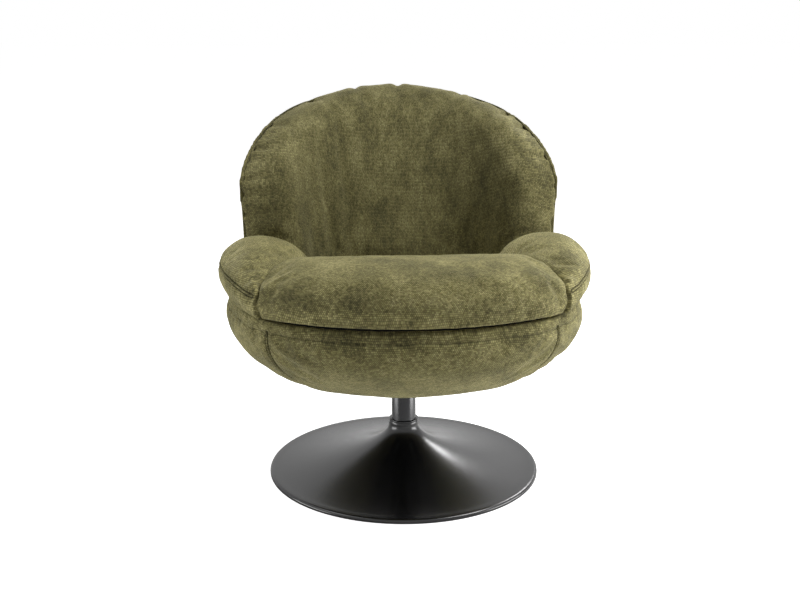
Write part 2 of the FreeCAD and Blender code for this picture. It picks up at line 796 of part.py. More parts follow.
def make_webbing():
    """Elastic straps stapled under the deck frame, those across the seat under those along it."""
    straps = []
    depth = "(deck_opening_front + deck_opening_rear)"
    for k in range(round(size("straps_along"))):
        middle = f"{k + 0.5} * deck_opening_width / straps_along - deck_opening_width / 2"
        straps.append(strap("strap_along", "strap_width", depth + " + 2 * strap_overlap",
                            middle + " - strap_width / 2", "0 - deck_opening_front - strap_overlap",
                            "deck_level - strap_thickness"))
    for k in range(round(size("straps_across"))):
        middle = f"{k + 0.5} * {depth} / straps_across - deck_opening_front"
        straps.append(strap("strap_across", "deck_opening_width + 2 * strap_overlap", "strap_width",
                            "0 - deck_opening_width / 2 - strap_overlap", middle + " - strap_width / 2",
                            "deck_level - 2 * strap_thickness"))
    group("seat_webbing", straps)


# Outline helpers in a plane of (reach, level) pairs

def arc_middle(centre, start, end, radius):
    """The middle of the short arc between two points of a circle."""
    toward = Vector((start[0] + end[0]) / 2 - centre[0], 0, (start[1] + end[1]) / 2 - centre[1]).normalize()
    return centre[0] + toward.x * radius, centre[1] + toward.z * radius


def level_arc(top, foot):
    """From a top where the arc runs level to a foot lower down: its middle point."""
    rise = top[1] - foot[1]
    run = foot[0] - top[0]
    radius = (run * run + rise * rise) / (2 * rise)
    return arc_middle((top[0], top[1] - radius), top, foot, radius)


def upright_arc(belly, foot):
    """From a belly where the arc runs upright to a foot drawn in below it: its middle point."""
    rise = belly[1] - foot[1]
    run = belly[0] - foot[0]
    radius = (run * run + rise * rise) / (2 * abs(run))
    return arc_middle((belly[0] - math.copysign(radius, run), belly[1]), belly, foot, radius)


def shoulder(belly, top, radius):
    """Two tangent arcs from an upright belly to a level top: (middle, joint, middle)."""
    way = math.copysign(1, top[0] - belly[0])
    run = abs(top[0] - belly[0])
    rise = top[1] - belly[1]
    if run >= rise:
        large = ((run - radius) ** 2 + rise * rise - radius * radius) / (2 * (rise - radius))
        belly_radius, top_radius = radius, large
    else:
        large = ((rise - radius) ** 2 + run * run - radius * radius) / (2 * (run - radius))
        belly_radius, top_radius = large, radius
    belly_centre = (belly[0] + way * belly_radius, belly[1])
    top_centre = (top[0], top[1] - top_radius)
    small, wide = (belly_centre, top_centre) if run >= rise else (top_centre, belly_centre)
    line = Vector(small[0] - wide[0], 0, small[1] - wide[1]).normalize()
    joint = (wide[0] + line.x * large, wide[1] + line.z * large)
    first = arc_middle(belly_centre, belly, joint, belly_radius)
    second = arc_middle(top_centre, joint, top, top_radius)
    return first, joint, second


def round_corner(before, corner, after, radius):
    """Start, middle and end of a fillet at a corner between two straight runs."""
    here = Vector(corner[0], 0, corner[1])
    back = (Vector(before[0], 0, before[1]) - here).normalize()
    ahead = (Vector(after[0], 0, after[1]) - here).normalize()
    half = back.getAngle(ahead) / 2
    start = here + back * (radius / math.tan(half))
    end = here + ahead * (radius / math.tan(half))
    inward = (back + ahead).normalize()
    middle = here + inward * (radius / math.sin(half) - radius)
    return [(point.x, point.z) for point in (start, middle, end)]


def outline_wire(steps, to_space):
    """A wire from steps of two points (a line) or three (an arc), in order round the outline."""
    edges = []
    for step in steps:
        points = [to_space(*point) for point in step]
        edges.append(Part.makeLine(*points) if len(points) == 2 else Part.Arc(*points).toShape())
    return Part.Wire(edges)


# Arms: crescents that follow the rim of the bowl

ARM_STATIONS = (
    (0.000, 0.00, 0.00),
    (0.075, 0.25, 0.30),
    (0.145, 0.59, 0.55),
    (0.240, 0.78, 0.76),
    (0.360, 0.93, 0.91),
    (0.510, 1.00, 1.00),
    (0.690, 1.00, 0.92),
    (0.860, 0.95, 0.62),
    (1.000, 0.86, 0.38),
)  # share of the arm's sweep, of its width and of its height


def arm_section(sweep, wide, high, grow):
    angle = math.radians(size("arm_start") + sweep * (size("arm_finish") - size("arm_start")))
    width = size("arm_tip_width") + wide * (size("arm_width") - size("arm_tip_width"))
    height = size("arm_tip_height") + high * (size("arm_height") - size("arm_tip_height"))
    low = size("seam_level") - (size("through") if grow else 0)
    outer = rim_reach(angle) + size("arm_overhang")
    inner = outer - width - grow
    belly = (outer + grow, size("seam_level") + size("arm_belly") * height)
    top = (outer - size("arm_ridge") * width, size("seam_level") + height + grow)
    inner_shoulder = (inner, size("seam_level") + size("arm_inner") * height)
    inner_foot = (inner, low)
    outer_foot = (outer - min(size("arm_draw"), size("arm_draw_limit") * width) + grow, low)
    small = size("arm_roundness") * min(size("arm_ridge") * width, (1 - size("arm_belly")) * height)
    first, joint, second = shoulder(belly, top, small)
    steps = [
        (inner_foot, outer_foot),
        (outer_foot, upright_arc(belly, outer_foot), belly),
        (belly, first, joint),
        (joint, second, top),
        (top, level_arc(top, inner_shoulder), inner_shoulder),
        (inner_shoulder, inner_foot),
    ]
    turned_out = Vector(math.sin(angle), -math.cos(angle), 0)
    return outline_wire(steps, lambda reach, level: turned_out * reach + Vector(0, 0, level))


def arm_body(grow=0.0):
    return Part.makeLoft([arm_section(*station, grow) for station in ARM_STATIONS], True, False)


def mirrored(shape):
    return shape.mirror(Vector(), Vector(1, 0, 0))


def core_frame():
    """Where the right arm's plywood core stands: its foot's middle, with local X along the arm."""
    angle = math.radians(size("core_angle"))
    reach = rim_reach(angle) + size("arm_overhang") - size("core_inset")
    foot = Vector(reach * math.sin(angle), -reach * math.cos(angle), size("seam_level"))
    return Placement(foot, Rotation(Vector(0, 0, 1), size("core_angle")))


def core_box():
    length = size("core_length")
    thick = size("core_thickness")
    box = Part.makeBox(length, thick, size("core_height"), Vector(-length / 2, -thick / 2, 0))
    box.Placement = core_frame().multiply(box.Placement)
    return box


def core_screws():
    """Screws from under the deck into the right arm's core."""
    screw = screw_shape(size("screw_head_radius"), size("screw_head_height"), size("screw_radius"),
                        size("core_screw_length"))
    half = size("core_screw_spacing") / 2
    spots = []
    for way in (-1, 1):
        foot = core_frame().multVec(Vector(way * half, 0, 0))
        spots.append(Vector(foot.x, foot.y, size("deck_level")))
    return placed(screw, spots)


def make_arms(back_room):
    body = arm_body().cut(back_room)
    arm = body.cut(core_box())
    screws = core_screws()
    core = core_box().cut(Part.makeCompound(screws))
    computed("arm_right", arm)
    computed("arm_left", mirrored(arm))
    computed("arm_core_right", core)
    computed("arm_core_left", mirrored(core))
    pair = screws + [mirrored(screw) for screw in screws]
    computed("arm_screws", Part.makeCompound(pair))
    return pair


# Back: a barrel of pad, shell and rear cover about its own upright centre line

BACK_TURNS = (0, 12, 24, 36, 47, 56)
EDGE_STEPS = (1.0, 0.62, 0.31, 0.11, 0.0)
EDGE_SPACING = 1.15  # a station this many roundings or less from the wing's edge is left to the edge steps


def back_radius(level):
    """Outer radius of the back at a level."""
    return size("back_foot") + math.tan(math.radians(size("back_lean"))) * (level - size("seam_level"))


def back_outline(across):
    """Top level of the back seen from the front: a wide top arc and round corners."""
    corner = size("back_corner")
    centre = size("back_half_width") - corner
    rise = size("back_top") - size("back_widest")
    wide = (centre * centre + rise * rise - corner * corner) / (2 * (rise - corner))
    joint = centre * wide / (wide - corner)
    if across < joint:
        return size("back_top") - wide + math.sqrt(wide * wide - across * across)
    return size("back_widest") + math.sqrt(max(0.0, corner * corner - (across - centre) ** 2))


def back_depth(share, level):
    """Thickness at a share of the way from the middle to the wing's edge."""
    climb = (level - size("seam_level")) / (size("back_top") - size("seam_level"))
    middle = size("back_depth_low") + climb * (size("back_depth_top") - size("back_depth_low"))
    wing = size("wing_depth_low") + climb * (size("wing_depth_top") - size("wing_depth_low"))
    return wing + (middle - wing) * math.cos(share * math.pi / 2) ** 2


def back_stations(inset):
    """Half of the back's stations as (angle, share, distance from the wing's edge)."""
    widest = back_radius(size("back_widest"))
    last = math.asin((size("back_half_width") - inset) / widest)
    edge = size("back_front_round")
    stations = []
    for turn in BACK_TURNS:
        angle = math.radians(turn)
        if (last - angle) * widest > edge * EDGE_SPACING:
            stations.append((angle, angle / last, edge))
    for step in EDGE_STEPS:
        stations.append((last - step * edge / widest, 1 - step * edge / (widest * last), step * edge))
    return stations


def back_blade(front, rear, inset, front_round, rear_round, low, bulge=0.0, edge_round=True):
    """A layer of the back: front gives its depth from the outer surface at (share, level, edge)."""
    half = back_stations(inset)
    whole = [(-angle, share, edge) for angle, share, edge in reversed(half[1:])] + half
    widest = back_radius(size("back_widest"))
    wires = []
    for angle, share, edge in whole:
        top = back_outline(widest * abs(math.sin(angle))) - inset
        reduce = 0.0
        if edge_round:
            radius = size("back_front_round")
            reduce = radius - math.sqrt(max(0.0, radius * radius - (radius - edge) ** 2))
        front_low = (back_radius(low) - front(share, low) + reduce, low)
        front_top = (back_radius(top) - front(share, top) + reduce, top)
        rear_low = (back_radius(low) - rear, low)
        rear_top = (back_radius(top) - rear, top)
        thick = rear_top[0] - front_top[0]
        big = min(front_round, size("back_front_limit") * thick)
        small = min(rear_round, size("back_rear_limit") * thick)
        rear_fillet = round_corner(rear_low, rear_top, front_top, small)
        front_fillet = round_corner(rear_top, front_top, front_low, big)
        middle = ((front_low[0] + front_fillet[2][0]) / 2 - bulge, (front_low[1] + front_fillet[2][1]) / 2)
        face = (front_fillet[2], middle, front_low) if bulge else (front_fillet[2], front_low)
        steps = [
            (front_low, rear_low),
            (rear_low, rear_fillet[0]),
            tuple(rear_fillet),
            (rear_fillet[2], front_fillet[0]),
            tuple(front_fillet),
            face,
        ]
        wires.append(outline_wire(steps, back_space(angle)))
    return Part.makeLoft(wires, True, False)


def back_space(angle):
    centre = size("back_centre")
    return lambda reach, level: Vector(reach * math.sin(angle), centre + reach * math.cos(angle), level)


def back_room():
    """The whole back grown by the soft gap, which seat and arms stay out of."""
    gap = size("soft_gap")
    low = size("seam_level") - size("through")
    return back_blade(lambda share, level: back_depth(share, level) + gap, -gap, -gap,
                      size("back_front_round"), size("back_rear_round"), low, size("back_bulge"))


def bracket_frame(side):
    """Placement whose local X points from the back's centre line out to the bracket."""
    turn = Rotation(Vector(0, 0, 1), 90 - side * size("bracket_angle"))
    return Placement(Vector(0, size("back_centre"), 0), turn)


def shell_front(level):
    return back_radius(level) - size("rear_cover_depth") - size("soft_gap") - size("back_shell_depth")


def bracket_outline(room):
    """Corners of the angle bracket in (reach, level), or of the room cut for it."""
    low = size("seam_level")
    steel = size("bracket_steel")
    high = low + size("bracket_rise") + room
    inner = shell_front(low) - size("bracket_flat") - size("bracket_foot") - room
    near = shell_front(low) - size("bracket_flat")
    far = shell_front(high) - size("bracket_flat")
    extra = size("bracket_flat") + size("soft_gap") + size("through") if room else 0
    return [
        (inner, low), (near + extra, low), (far + extra, high),
        (far - steel - room, high), (near - steel - room, low + steel + room), (inner, low + steel + room),
    ]


def bracket_solid(side, room=0.0, width_room=0.0):
    width = size("bracket_width") + 2 * width_room
    points = [Vector(reach, -width / 2, level) for reach, level in bracket_outline(room)]
    solid = Part.Face(Part.makePolygon(points + points[:1])).extrude(Vector(0, width, 0))
    solid.Placement = bracket_frame(side).multiply(solid.Placement)
    return solid


FOOT_SCREWS = (0.3, 0.7)     # shares of the bracket's foot
UPRIGHT_SCREWS = (0.4, 0.8)  # shares of its rise


def bracket_screws():
    """Foot screws into the deck, and screws through the uprights into the back's shell."""
    foot = screw_shape(size("screw_head_radius"), size("screw_head_height"), size("screw_radius"),
                       size("foot_screw_length"))
    lean = size("back_lean")
    steel = size("bracket_steel")
    bite = size("back_screw_bite") + steel
    upright = screw_shape(size("screw_head_radius"), size("screw_head_height"), size("screw_radius"), bite)
    low = size("seam_level")
    foot_spots = []
    upright_spots = []
    for side in (-1, 1):
        frame = bracket_frame(side)
        for share in FOOT_SCREWS:
            reach = shell_front(low) - size("bracket_flat") - steel - size("bracket_foot") * share
            spot = Placement(Vector(reach, 0, low + steel), Rotation(Vector(1, 0, 0), 180))
            foot_spots.append(frame.multiply(spot))
        for share in UPRIGHT_SCREWS:
            level = low + size("bracket_rise") * share
            reach = shell_front(level) - size("bracket_flat") - steel
            spot = Placement(Vector(reach, 0, level), Rotation(Vector(0, 1, 0), 90 + lean))
            upright_spots.append(frame.multiply(spot))
    return placed(foot, foot_spots), placed(upright, upright_spots)


def make_back():
    cover_depth = size("rear_cover_depth")
    gap = size("soft_gap")
    shell_rear = cover_depth + gap
    shell_deep = shell_rear + size("back_shell_depth")
    low = size("seam_level")
    foot_screws, upright_screws = bracket_screws()
    pockets = [bracket_solid(side, size("pocket_room"), size("pocket_room")) for side in (-1, 1)]
    pad = back_blade(back_depth, shell_rear, 0, size("back_front_round"), size("back_rear_round"), low,
                     size("back_bulge"))
    shell_round = size("back_shell_round")
    past = size("through")
    recess = back_blade(lambda share, level: shell_deep + gap, shell_rear - past,
                        size("back_shell_inset") - gap, shell_round, shell_round, low - past, 0.0, False)
    computed("back_pad", pad.cut(recess).cut(Part.makeCompound(pockets)))
    shell = back_blade(lambda share, level: shell_deep, shell_rear, size("back_shell_inset"),
                       shell_round, shell_round, low, 0.0, False)
    computed("back_shell", shell.cut(Part.makeCompound(upright_screws)))
    cover = back_blade(lambda share, level: cover_depth, 0, size("rear_cover_inset"), size("rear_cover_round"),
                       size("back_rear_round"), low, 0.0, False)
    computed("back_rear_cover", cover)
    screws = Part.makeCompound(foot_screws + upright_screws)
    computed("back_bracket_right", bracket_solid(1).cut(screws))
    computed("back_bracket_left", bracket_solid(-1).cut(screws))
    computed("back_screws", screws)
    return foot_screws


# Seat cushion: YZ sections lofted along X

SEAT_STATIONS = ((0.0, 0.0), (0.4, 2.0), (0.7, 8.0), (0.85, 16.0), (0.94, 28.0), (1.0, 44.0))


def seat_section(across, drop):
    low = size("seam_level")
    front = -(rim_depth(across) + size("seat_overhang"))
    foot = (front + size("seat_draw"), low)
    belly = (front, low + size("seat_belly"))
    crown = (front + size("seat_crown_set"), low + size("seat_crown") - drop)
    small = min(size("seat_front_round"), size("seat_round_limit") * (crown[1] - belly[1]))
    first, joint, second = shoulder(belly, crown, small)
    slope = math.radians(size("seat_slope"))
    radius = size("seat_crown_round")
    centre = (crown[0], crown[1] - radius)
    past = (crown[0] + radius * math.sin(slope), centre[1] + radius * math.cos(slope))
    rear_top = (size("seat_end"), past[1] - (size("seat_end") - past[0]) * math.tan(slope))
    rear_foot = (size("seat_end"), low)
    steps = [
        (rear_foot, foot),
        (foot, upright_arc(belly, foot), belly),
        (belly, first, joint),
        (joint, second, crown),
        (crown, arc_middle(centre, crown, past, radius), past),
        (past, rear_top),
        (rear_top, rear_foot),
    ]
    return outline_wire(steps, lambda along, level: Vector(across, along, level))


def make_seat(room):
    half = size("seat_half_width")
    right = [(share * half, drop) for share, drop in SEAT_STATIONS]
    whole = [(-across, drop) for across, drop in reversed(right[1:])] + right
    body = Part.makeLoft([seat_section(*station) for station in whole], True, False)
    arm = arm_body(size("soft_gap"))
    body = body.cut(room).cut(arm).cut(mirrored(arm))
    plug = opening_prism(size("plug_play"), size("deck_level"), size("seam_level") + size("through"))
    computed("seat_cushion", body.fuse(plug))


make_pedestal()
make_bearing()
make_spindle()
make_seat_mount()
make_bowl()
make_webbing()
room = back_room()
arm_pair = make_arms(room)
bracket_feet = make_back()
make_deck(deck_screws() + arm_pair + bracket_feet)
make_seat(room)
doc.recompute()

# Nothing is written unless every object of the document came out sound
for thing in doc.Objects:
    if any(word in thing.State for word in ("Invalid", "Error")):
        raise RuntimeError(f"{thing.Label} failed: {thing.State}")
for label, thing in nodes.items():
    if thing.Shape.isNull() or not thing.Shape.isValid() or thing.Shape.Volume <= 0:
        raise RuntimeError(f"{label} has no valid shape")

os.makedirs("parts", exist_ok=True)
for label, thing in nodes.items():
    thing.Shape.exportStep(f"parts/{label}.step")
    box = thing.Shape.BoundBox
    print(f"{label}: {len(thing.Shape.Solids)} solid(s), {thing.Shape.Volume / 1000:.1f} cm3, "
          f"X {box.XMin:.1f} {box.XMax:.1f}, Y {box.YMin:.1f} {box.YMax:.1f}, Z {box.ZMin:.1f} {box.ZMax:.1f}")
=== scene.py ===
import math

import bpy
import numpy as np
from mathutils import Matrix, Vector, noise
from mathutils.bvhtree import BVHTree
from mathutils.kdtree import KDTree


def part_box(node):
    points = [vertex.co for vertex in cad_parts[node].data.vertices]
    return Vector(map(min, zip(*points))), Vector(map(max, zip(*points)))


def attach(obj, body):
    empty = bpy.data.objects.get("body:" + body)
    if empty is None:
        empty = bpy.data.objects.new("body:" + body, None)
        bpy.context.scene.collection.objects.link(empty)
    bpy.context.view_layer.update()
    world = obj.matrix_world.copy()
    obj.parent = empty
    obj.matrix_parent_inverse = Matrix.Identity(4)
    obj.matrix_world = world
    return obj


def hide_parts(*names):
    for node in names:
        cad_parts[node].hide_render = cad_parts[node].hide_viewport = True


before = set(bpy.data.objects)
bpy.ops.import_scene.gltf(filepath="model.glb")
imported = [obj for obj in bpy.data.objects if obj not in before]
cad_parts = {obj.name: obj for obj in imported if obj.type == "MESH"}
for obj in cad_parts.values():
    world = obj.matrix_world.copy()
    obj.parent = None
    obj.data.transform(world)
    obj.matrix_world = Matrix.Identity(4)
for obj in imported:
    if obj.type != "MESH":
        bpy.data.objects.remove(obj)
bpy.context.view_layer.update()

# Swivel armchair: chenille covers on a black trumpet base. Metres, seat facing -Y, floor at Z = 0.
scene = bpy.context.scene
print("frame loaded")

# Levels and outlines that several pieces share
chair = {
    "seamLevel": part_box("deck_frame")[1].z,   # upper unit meets bowl
    "backCentre": 0.008,                      # centre of the back's curve, behind the swivel axis
    "backFoot": 0.342,                        # outer radius of the back at the seam level
    "backLean": math.radians(3.2),
    "backTop": 0.771,
    "backHalfWidth": 0.336,
    "backCorner": 0.180,
    "backWidest": 0.564,
    "armStart": math.radians(47),
    "armFinish": math.radians(112),
    "outside": 0.6,                           # rays that look for a seam start this far out
    "liningGapShadeStart": 0.290,                     # outside this radius the deck is near-black: lining, and painted shade for the gap between bowl and seat
    "girth": 0.37,                            # mean radius of the seat's outline
}


# Working with objects

def deselectAll():
    if bpy.context.object and bpy.context.object.mode != "OBJECT":
        bpy.ops.object.mode_set(mode="OBJECT")
    bpy.ops.object.select_all(action="DESELECT")


def activate(piece):
    deselectAll()
    piece.select_set(True)
    bpy.context.view_layer.objects.active = piece


def applyModifier(piece, kind, **settings):
    activate(piece)
    step = piece.modifiers.new(kind.title(), kind)
    for name, value in settings.items():
        setattr(step, name, value)
    bpy.ops.object.modifier_apply(modifier=step.name)


def copyOfNode(node, name):
    piece = bpy.data.objects.new(name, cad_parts[node].data.copy())
    scene.collection.objects.link(piece)
    piece.data.materials.clear()
    activate(piece)
    bpy.ops.object.mode_set(mode="EDIT")
    bpy.ops.mesh.select_all(action="SELECT")
    bpy.ops.mesh.remove_doubles(threshold=0.00002)
    bpy.ops.object.mode_set(mode="OBJECT")
    return piece


def coordinates(mesh):
    co = np.empty(len(mesh.vertices) * 3)
    mesh.vertices.foreach_get("co", co)
    return co.reshape(-1, 3)


def setCoordinates(mesh, co):
    mesh.vertices.foreach_set("co", co.ravel())
    mesh.update()


def moveAlongNormals(mesh, amount):
    normals = np.empty(len(mesh.vertices) * 3)
    mesh.vertex_normals.foreach_get("vector", normals)
    setCoordinates(mesh, coordinates(mesh) + normals.reshape(-1, 3) * amount[:, None])


def planReach(co):
    return np.hypot(co[:, 0], co[:, 1])


def planAngle(co):
    return np.arctan2(co[:, 0], -co[:, 1])


def surfaceTree(piece):
    corners = [vertex.co for vertex in piece.data.vertices]
    faces = [polygon.vertices for polygon in piece.data.polygons]
    return BVHTree.FromPolygons(corners, faces)


def distances(points, others):
    tree = KDTree(len(others))
    for k, point in enumerate(others):
        tree.insert(point, k)
    tree.balance()
    found = [tree.find(point) for point in points]
    return np.array([f[2] for f in found]), np.array([f[1] for f in found])


def bell(distance, width):
    return np.exp(-(distance / width) ** 2)


def roughness(points, size, seed):
    shift = Vector((seed * 3.1, seed * 1.7, seed * 2.3))
    return np.array([noise.noise(Vector(point) / size + shift) for point in points])


# Cloth pieces

# Distances to a neighbour: looked for, held in the simulation, not drawn in, and free of it again
touch = {"reach": 0.012, "hold": 0.006, "inset": 0.009, "free": 0.02}

# Waves of the uneven filling, and the share of the small ones
waves = {"large": 0.11, "small": 0.035, "share": 0.45}


def nearContact(piece, neighbours, reach):
    trees = [surfaceTree(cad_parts[node]) for node in neighbours]
    near = np.full(len(piece.data.vertices), reach)
    for k, vertex in enumerate(piece.data.vertices):
        for tree in trees:
            hit = tree.find_nearest(vertex.co, reach)
            if hit[3] is not None:
                near[k] = min(near[k], hit[3])
    return near


def simulateCloth(piece, look, held):
    activate(piece)
    pins = piece.vertex_groups.new(name="pins")
    for k in np.flatnonzero(held > 0.02):
        pins.add([int(k)], float(held[k]), "REPLACE")
    rest = coordinates(piece.data)
    cloth = piece.modifiers.new("Cloth", "CLOTH")
    cloth.settings.quality = 4
    cloth.settings.mass = 0.3
    cloth.settings.bending_stiffness = look["bending"]
    cloth.settings.use_pressure = True
    cloth.settings.uniform_pressure_force = look["pressure"]
    cloth.settings.shrink_min = -look["slack"]
    cloth.settings.vertex_group_mass = "pins"
    cloth.settings.effector_weights.gravity = 0
    cloth.collision_settings.use_collision = False
    cloth.point_cache.frame_start = 1
    cloth.point_cache.frame_end = look["frames"]
    for step in range(1, look["frames"] + 1):
        scene.frame_set(step)
    bpy.ops.object.modifier_apply(modifier=cloth.name)
    scene.frame_set(1)
    move = coordinates(piece.data) - rest
    length = np.linalg.norm(move, axis=1, keepdims=True)
    limit = np.minimum(1, look["cap"] / np.maximum(length, 1e-9))
    setCoordinates(piece.data, rest + move * limit)
    bpy.ops.object.vertex_group_remove(all=True)


def clothPiece(node, name, look, lines, neighbours):
    # a copy of the node's shape, remeshed, drawn in a little, then puffed up by the cloth simulation
    piece = copyOfNode(node, name)
    applyModifier(piece, "REMESH", mode="VOXEL", voxel_size=look["voxel"])
    applyModifier(piece, "SMOOTH", factor=0.5, iterations=look["smooth"])
    contact = nearContact(piece, neighbours, touch["reach"])
    held = bell(contact, touch["hold"])
    seams = [point for line in lines(piece) for point in line]
    if seams:
        away = distances(coordinates(piece.data), seams)[0]
        held = np.maximum(held, bell(away, look["seamHold"]))
    moveAlongNormals(piece.data, -look["inset"] * (1 - bell(contact, touch["inset"])))
    simulateCloth(piece, look, held)
    applyModifier(piece, "SMOOTH", factor=0.5, iterations=2)
    applyModifier(piece, "SUBSURF", levels=1, render_levels=1)
    co = coordinates(piece.data)
    free = np.clip(nearContact(piece, neighbours, touch["free"]) / touch["free"], 0, 1)
    swell = roughness(co, waves["large"], look["seed"])
    swell += waves["share"] * roughness(co, waves["small"], look["seed"] + 5)
    moveAlongNormals(piece.data, look["unevenness"] * swell * free)
    print("cloth piece", name, len(piece.data.polygons), "faces")
    return piece


def settleEdge(piece, level, reach, height=0.014):
    # the cover is pulled tight at the seam level, which leaves only a narrow gap between two pieces
    co = coordinates(piece.data)
    rise = co[:, 2] - level
    share = np.clip(np.abs(rise) / height, 0, 1)
    outer = planReach(co) > reach
    co[:, 2] = np.where(outer & (share < 1), level + rise * share, co[:, 2])
    setCoordinates(piece.data, co)


def seamBand(piece, lines, look):
    # faces near the seams are divided, then pressed into stitched grooves with a raised fold between them;
    # the grooves and their valley also get painted shade in seamShade
    dense = [point for line in lines for point in line]
    mesh = piece.data
    for cuts in range(look["divisions"]):
        centres = [polygon.center for polygon in mesh.polygons]
        near = distances(centres, dense)[0] < look["band"]
        activate(piece)
        mesh.polygons.foreach_set("select", near)
        bpy.ops.object.mode_set(mode="EDIT")
        bpy.ops.mesh.select_mode(type="FACE")
        bpy.ops.mesh.subdivide(number_cuts=1, smoothness=0)
        bpy.ops.object.mode_set(mode="OBJECT")
    co = coordinates(mesh)
    away, index = distances(co, dense)
    groove = bell(away - look["spacing"] / 2, look["grooveWidth"])
    fold = bell(away, look["spacing"] * 0.32)
    valley = bell(away, look["valleyWidth"])
    tug = 0.5 + 0.5 * np.sin(index * look["tugRate"] + 3 * roughness(co, 0.03, 7))
    tugged = bell(away - look["spacing"], look["spacing"]) * tug
    lift = look["fold"] * fold - look["groove"] * groove - look["valley"] * valley - look["tug"] * tugged
    moveAlongNormals(mesh, lift)
    # painted shade: the cloth's colour is darkened in the grooves and their valley
    shade = mesh.attributes.get("seamShade") or mesh.attributes.new("seamShade", "FLOAT", "POINT")
    value = np.zeros(len(mesh.vertices), dtype=np.float32)
    shade.data.foreach_get("value", value)
    value = np.maximum(value, np.clip(look["shade"] * (groove + 0.2 * valley), 0, 1))
    shade.data.foreach_set("value", value.astype(np.float32))


def largestAt(keys, values, bins=120):
    # the largest value found at each key, as a smooth curve over the keys
    places = np.linspace(keys.min(), keys.max(), bins)
    index = np.clip(np.digitize(keys, places) - 1, 0, bins - 1)
    largest = np.full(bins, -np.inf)
    np.maximum.at(largest, index, values)
    known = np.isfinite(largest)
    smooth = np.convolve(np.interp(places, places[known], largest[known]), np.ones(5) / 5, "same")
    smooth[:2], smooth[-2:] = smooth[2], smooth[-3]
    return np.interp(keys, places, smooth)


def layWeave(piece, along, across):
    # lengths along and across the cloth, which the weave follows
    place = piece.data.attributes.new("clothPlace", "FLOAT_VECTOR", "POINT")
    flat = np.stack([along, across, np.zeros_like(along)], axis=1).astype(np.float32)
    place.data.foreach_set("vector", flat.ravel())


def finishPiece(piece, body, material, sharp=None):
    # edges sharper than the angle, in degrees, stay sharp
    activate(piece)
    if sharp is None:
        bpy.ops.object.shade_smooth()
    else:
        bpy.ops.object.shade_smooth_by_angle(angle=math.radians(sharp))
    piece.data.materials.clear()
    piece.data.materials.append(material)
    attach(piece, body)


# Points of a seam, found where a ray meets the surface

def hits(tree, rays):
    points = []
    for start, target in rays:
        hit = tree.ray_cast(start, (target - start).normalized())[0]
        if hit is not None:
            points.append(hit)
    return points


def filled(points, step=0.001):
    line = []
    for start, end in zip(points, points[1:]):
        count = max(1, math.ceil((end - start).length / step))
        line += [start.lerp(end, k / count) for k in range(count)]
    return line + points[-1:]


def planPoint(angle, reach, level):
    # plan angle from the front, about the swivel axis
    return Vector((reach * math.sin(angle), -reach * math.cos(angle), level))


def inwardRay(angle, level):
    return planPoint(angle, chair["outside"], level), Vector((0, 0, level))


# Shader building

def newNode(tree, kind, **settings):
    node = tree.nodes.new(kind)
    for name, value in settings.items():
        setattr(node, name, value)
    return node


def wire(tree, source, node, socket):
    tree.links.new(source, node.inputs[socket])


def maths(tree, operation, first, second=0.0, third=None):
    node = newNode(tree, "ShaderNodeMath", operation=operation)
    for k, value in enumerate((first, second, third)):
        if isinstance(value, (int, float)):
            node.inputs[k].default_value = value
        elif value is not None:
            tree.links.new(value, node.inputs[k])
    return node.outputs[0]


def newGroup(name, inputs, outputs):
    tree = bpy.data.node_groups.new(name, "ShaderNodeTree")
    for label, kind, value in inputs:
        socket = tree.interface.new_socket(name=label, in_out="INPUT", socket_type=kind)
        if value is not None:
            socket.default_value = value
    for label, kind in outputs:
        tree.interface.new_socket(name=label, in_out="OUTPUT", socket_type=kind)
    return tree, tree.nodes.new("NodeGroupInput").outputs, tree.nodes.new("NodeGroupOutput").inputs


def placeGroup(tree, group, **values):
    node = newNode(tree, "ShaderNodeGroup", node_tree=group)
    for name, value in values.items():
        node.inputs[name].default_value = value
    return node


def noiseOf(tree, vector, scale, detail=3.0, rough=0.55, distortion=0.0):
    node = newNode(tree, "ShaderNodeTexNoise")
    wire(tree, vector, node, "Vector")
    if isinstance(scale, (int, float)):
        node.inputs["Scale"].default_value = scale
    else:
        wire(tree, scale, node, "Scale")
    node.inputs["Detail"].default_value = detail
    node.inputs["Roughness"].default_value = rough
    node.inputs["Distortion"].default_value = distortion
    return node.outputs["Fac"]


def ramp(tree, value, stops):
    node = newNode(tree, "ShaderNodeValToRGB")
    wire(tree, value, node, "Fac")
    while len(node.color_ramp.elements) < len(stops):
        node.color_ramp.elements.new(0.5)
    for element, (position, colour) in zip(node.color_ramp.elements, stops):
        element.position = position
        element.color = (*colour, 1)
    return node.outputs["Color"]


def mixed(tree, mode, share, first, second):
    node = newNode(tree, "ShaderNodeMix", data_type="RGBA", blend_type=mode)
    for socket, value in ((node.inputs["Factor"], share), (node.inputs[6], first), (node.inputs[7], second)):
        if isinstance(value, (int, float)):
            socket.default_value = value
        elif isinstance(value, tuple):
            socket.default_value = (*value, 1)
        else:
            tree.links.new(value, socket)
    return node.outputs[2]


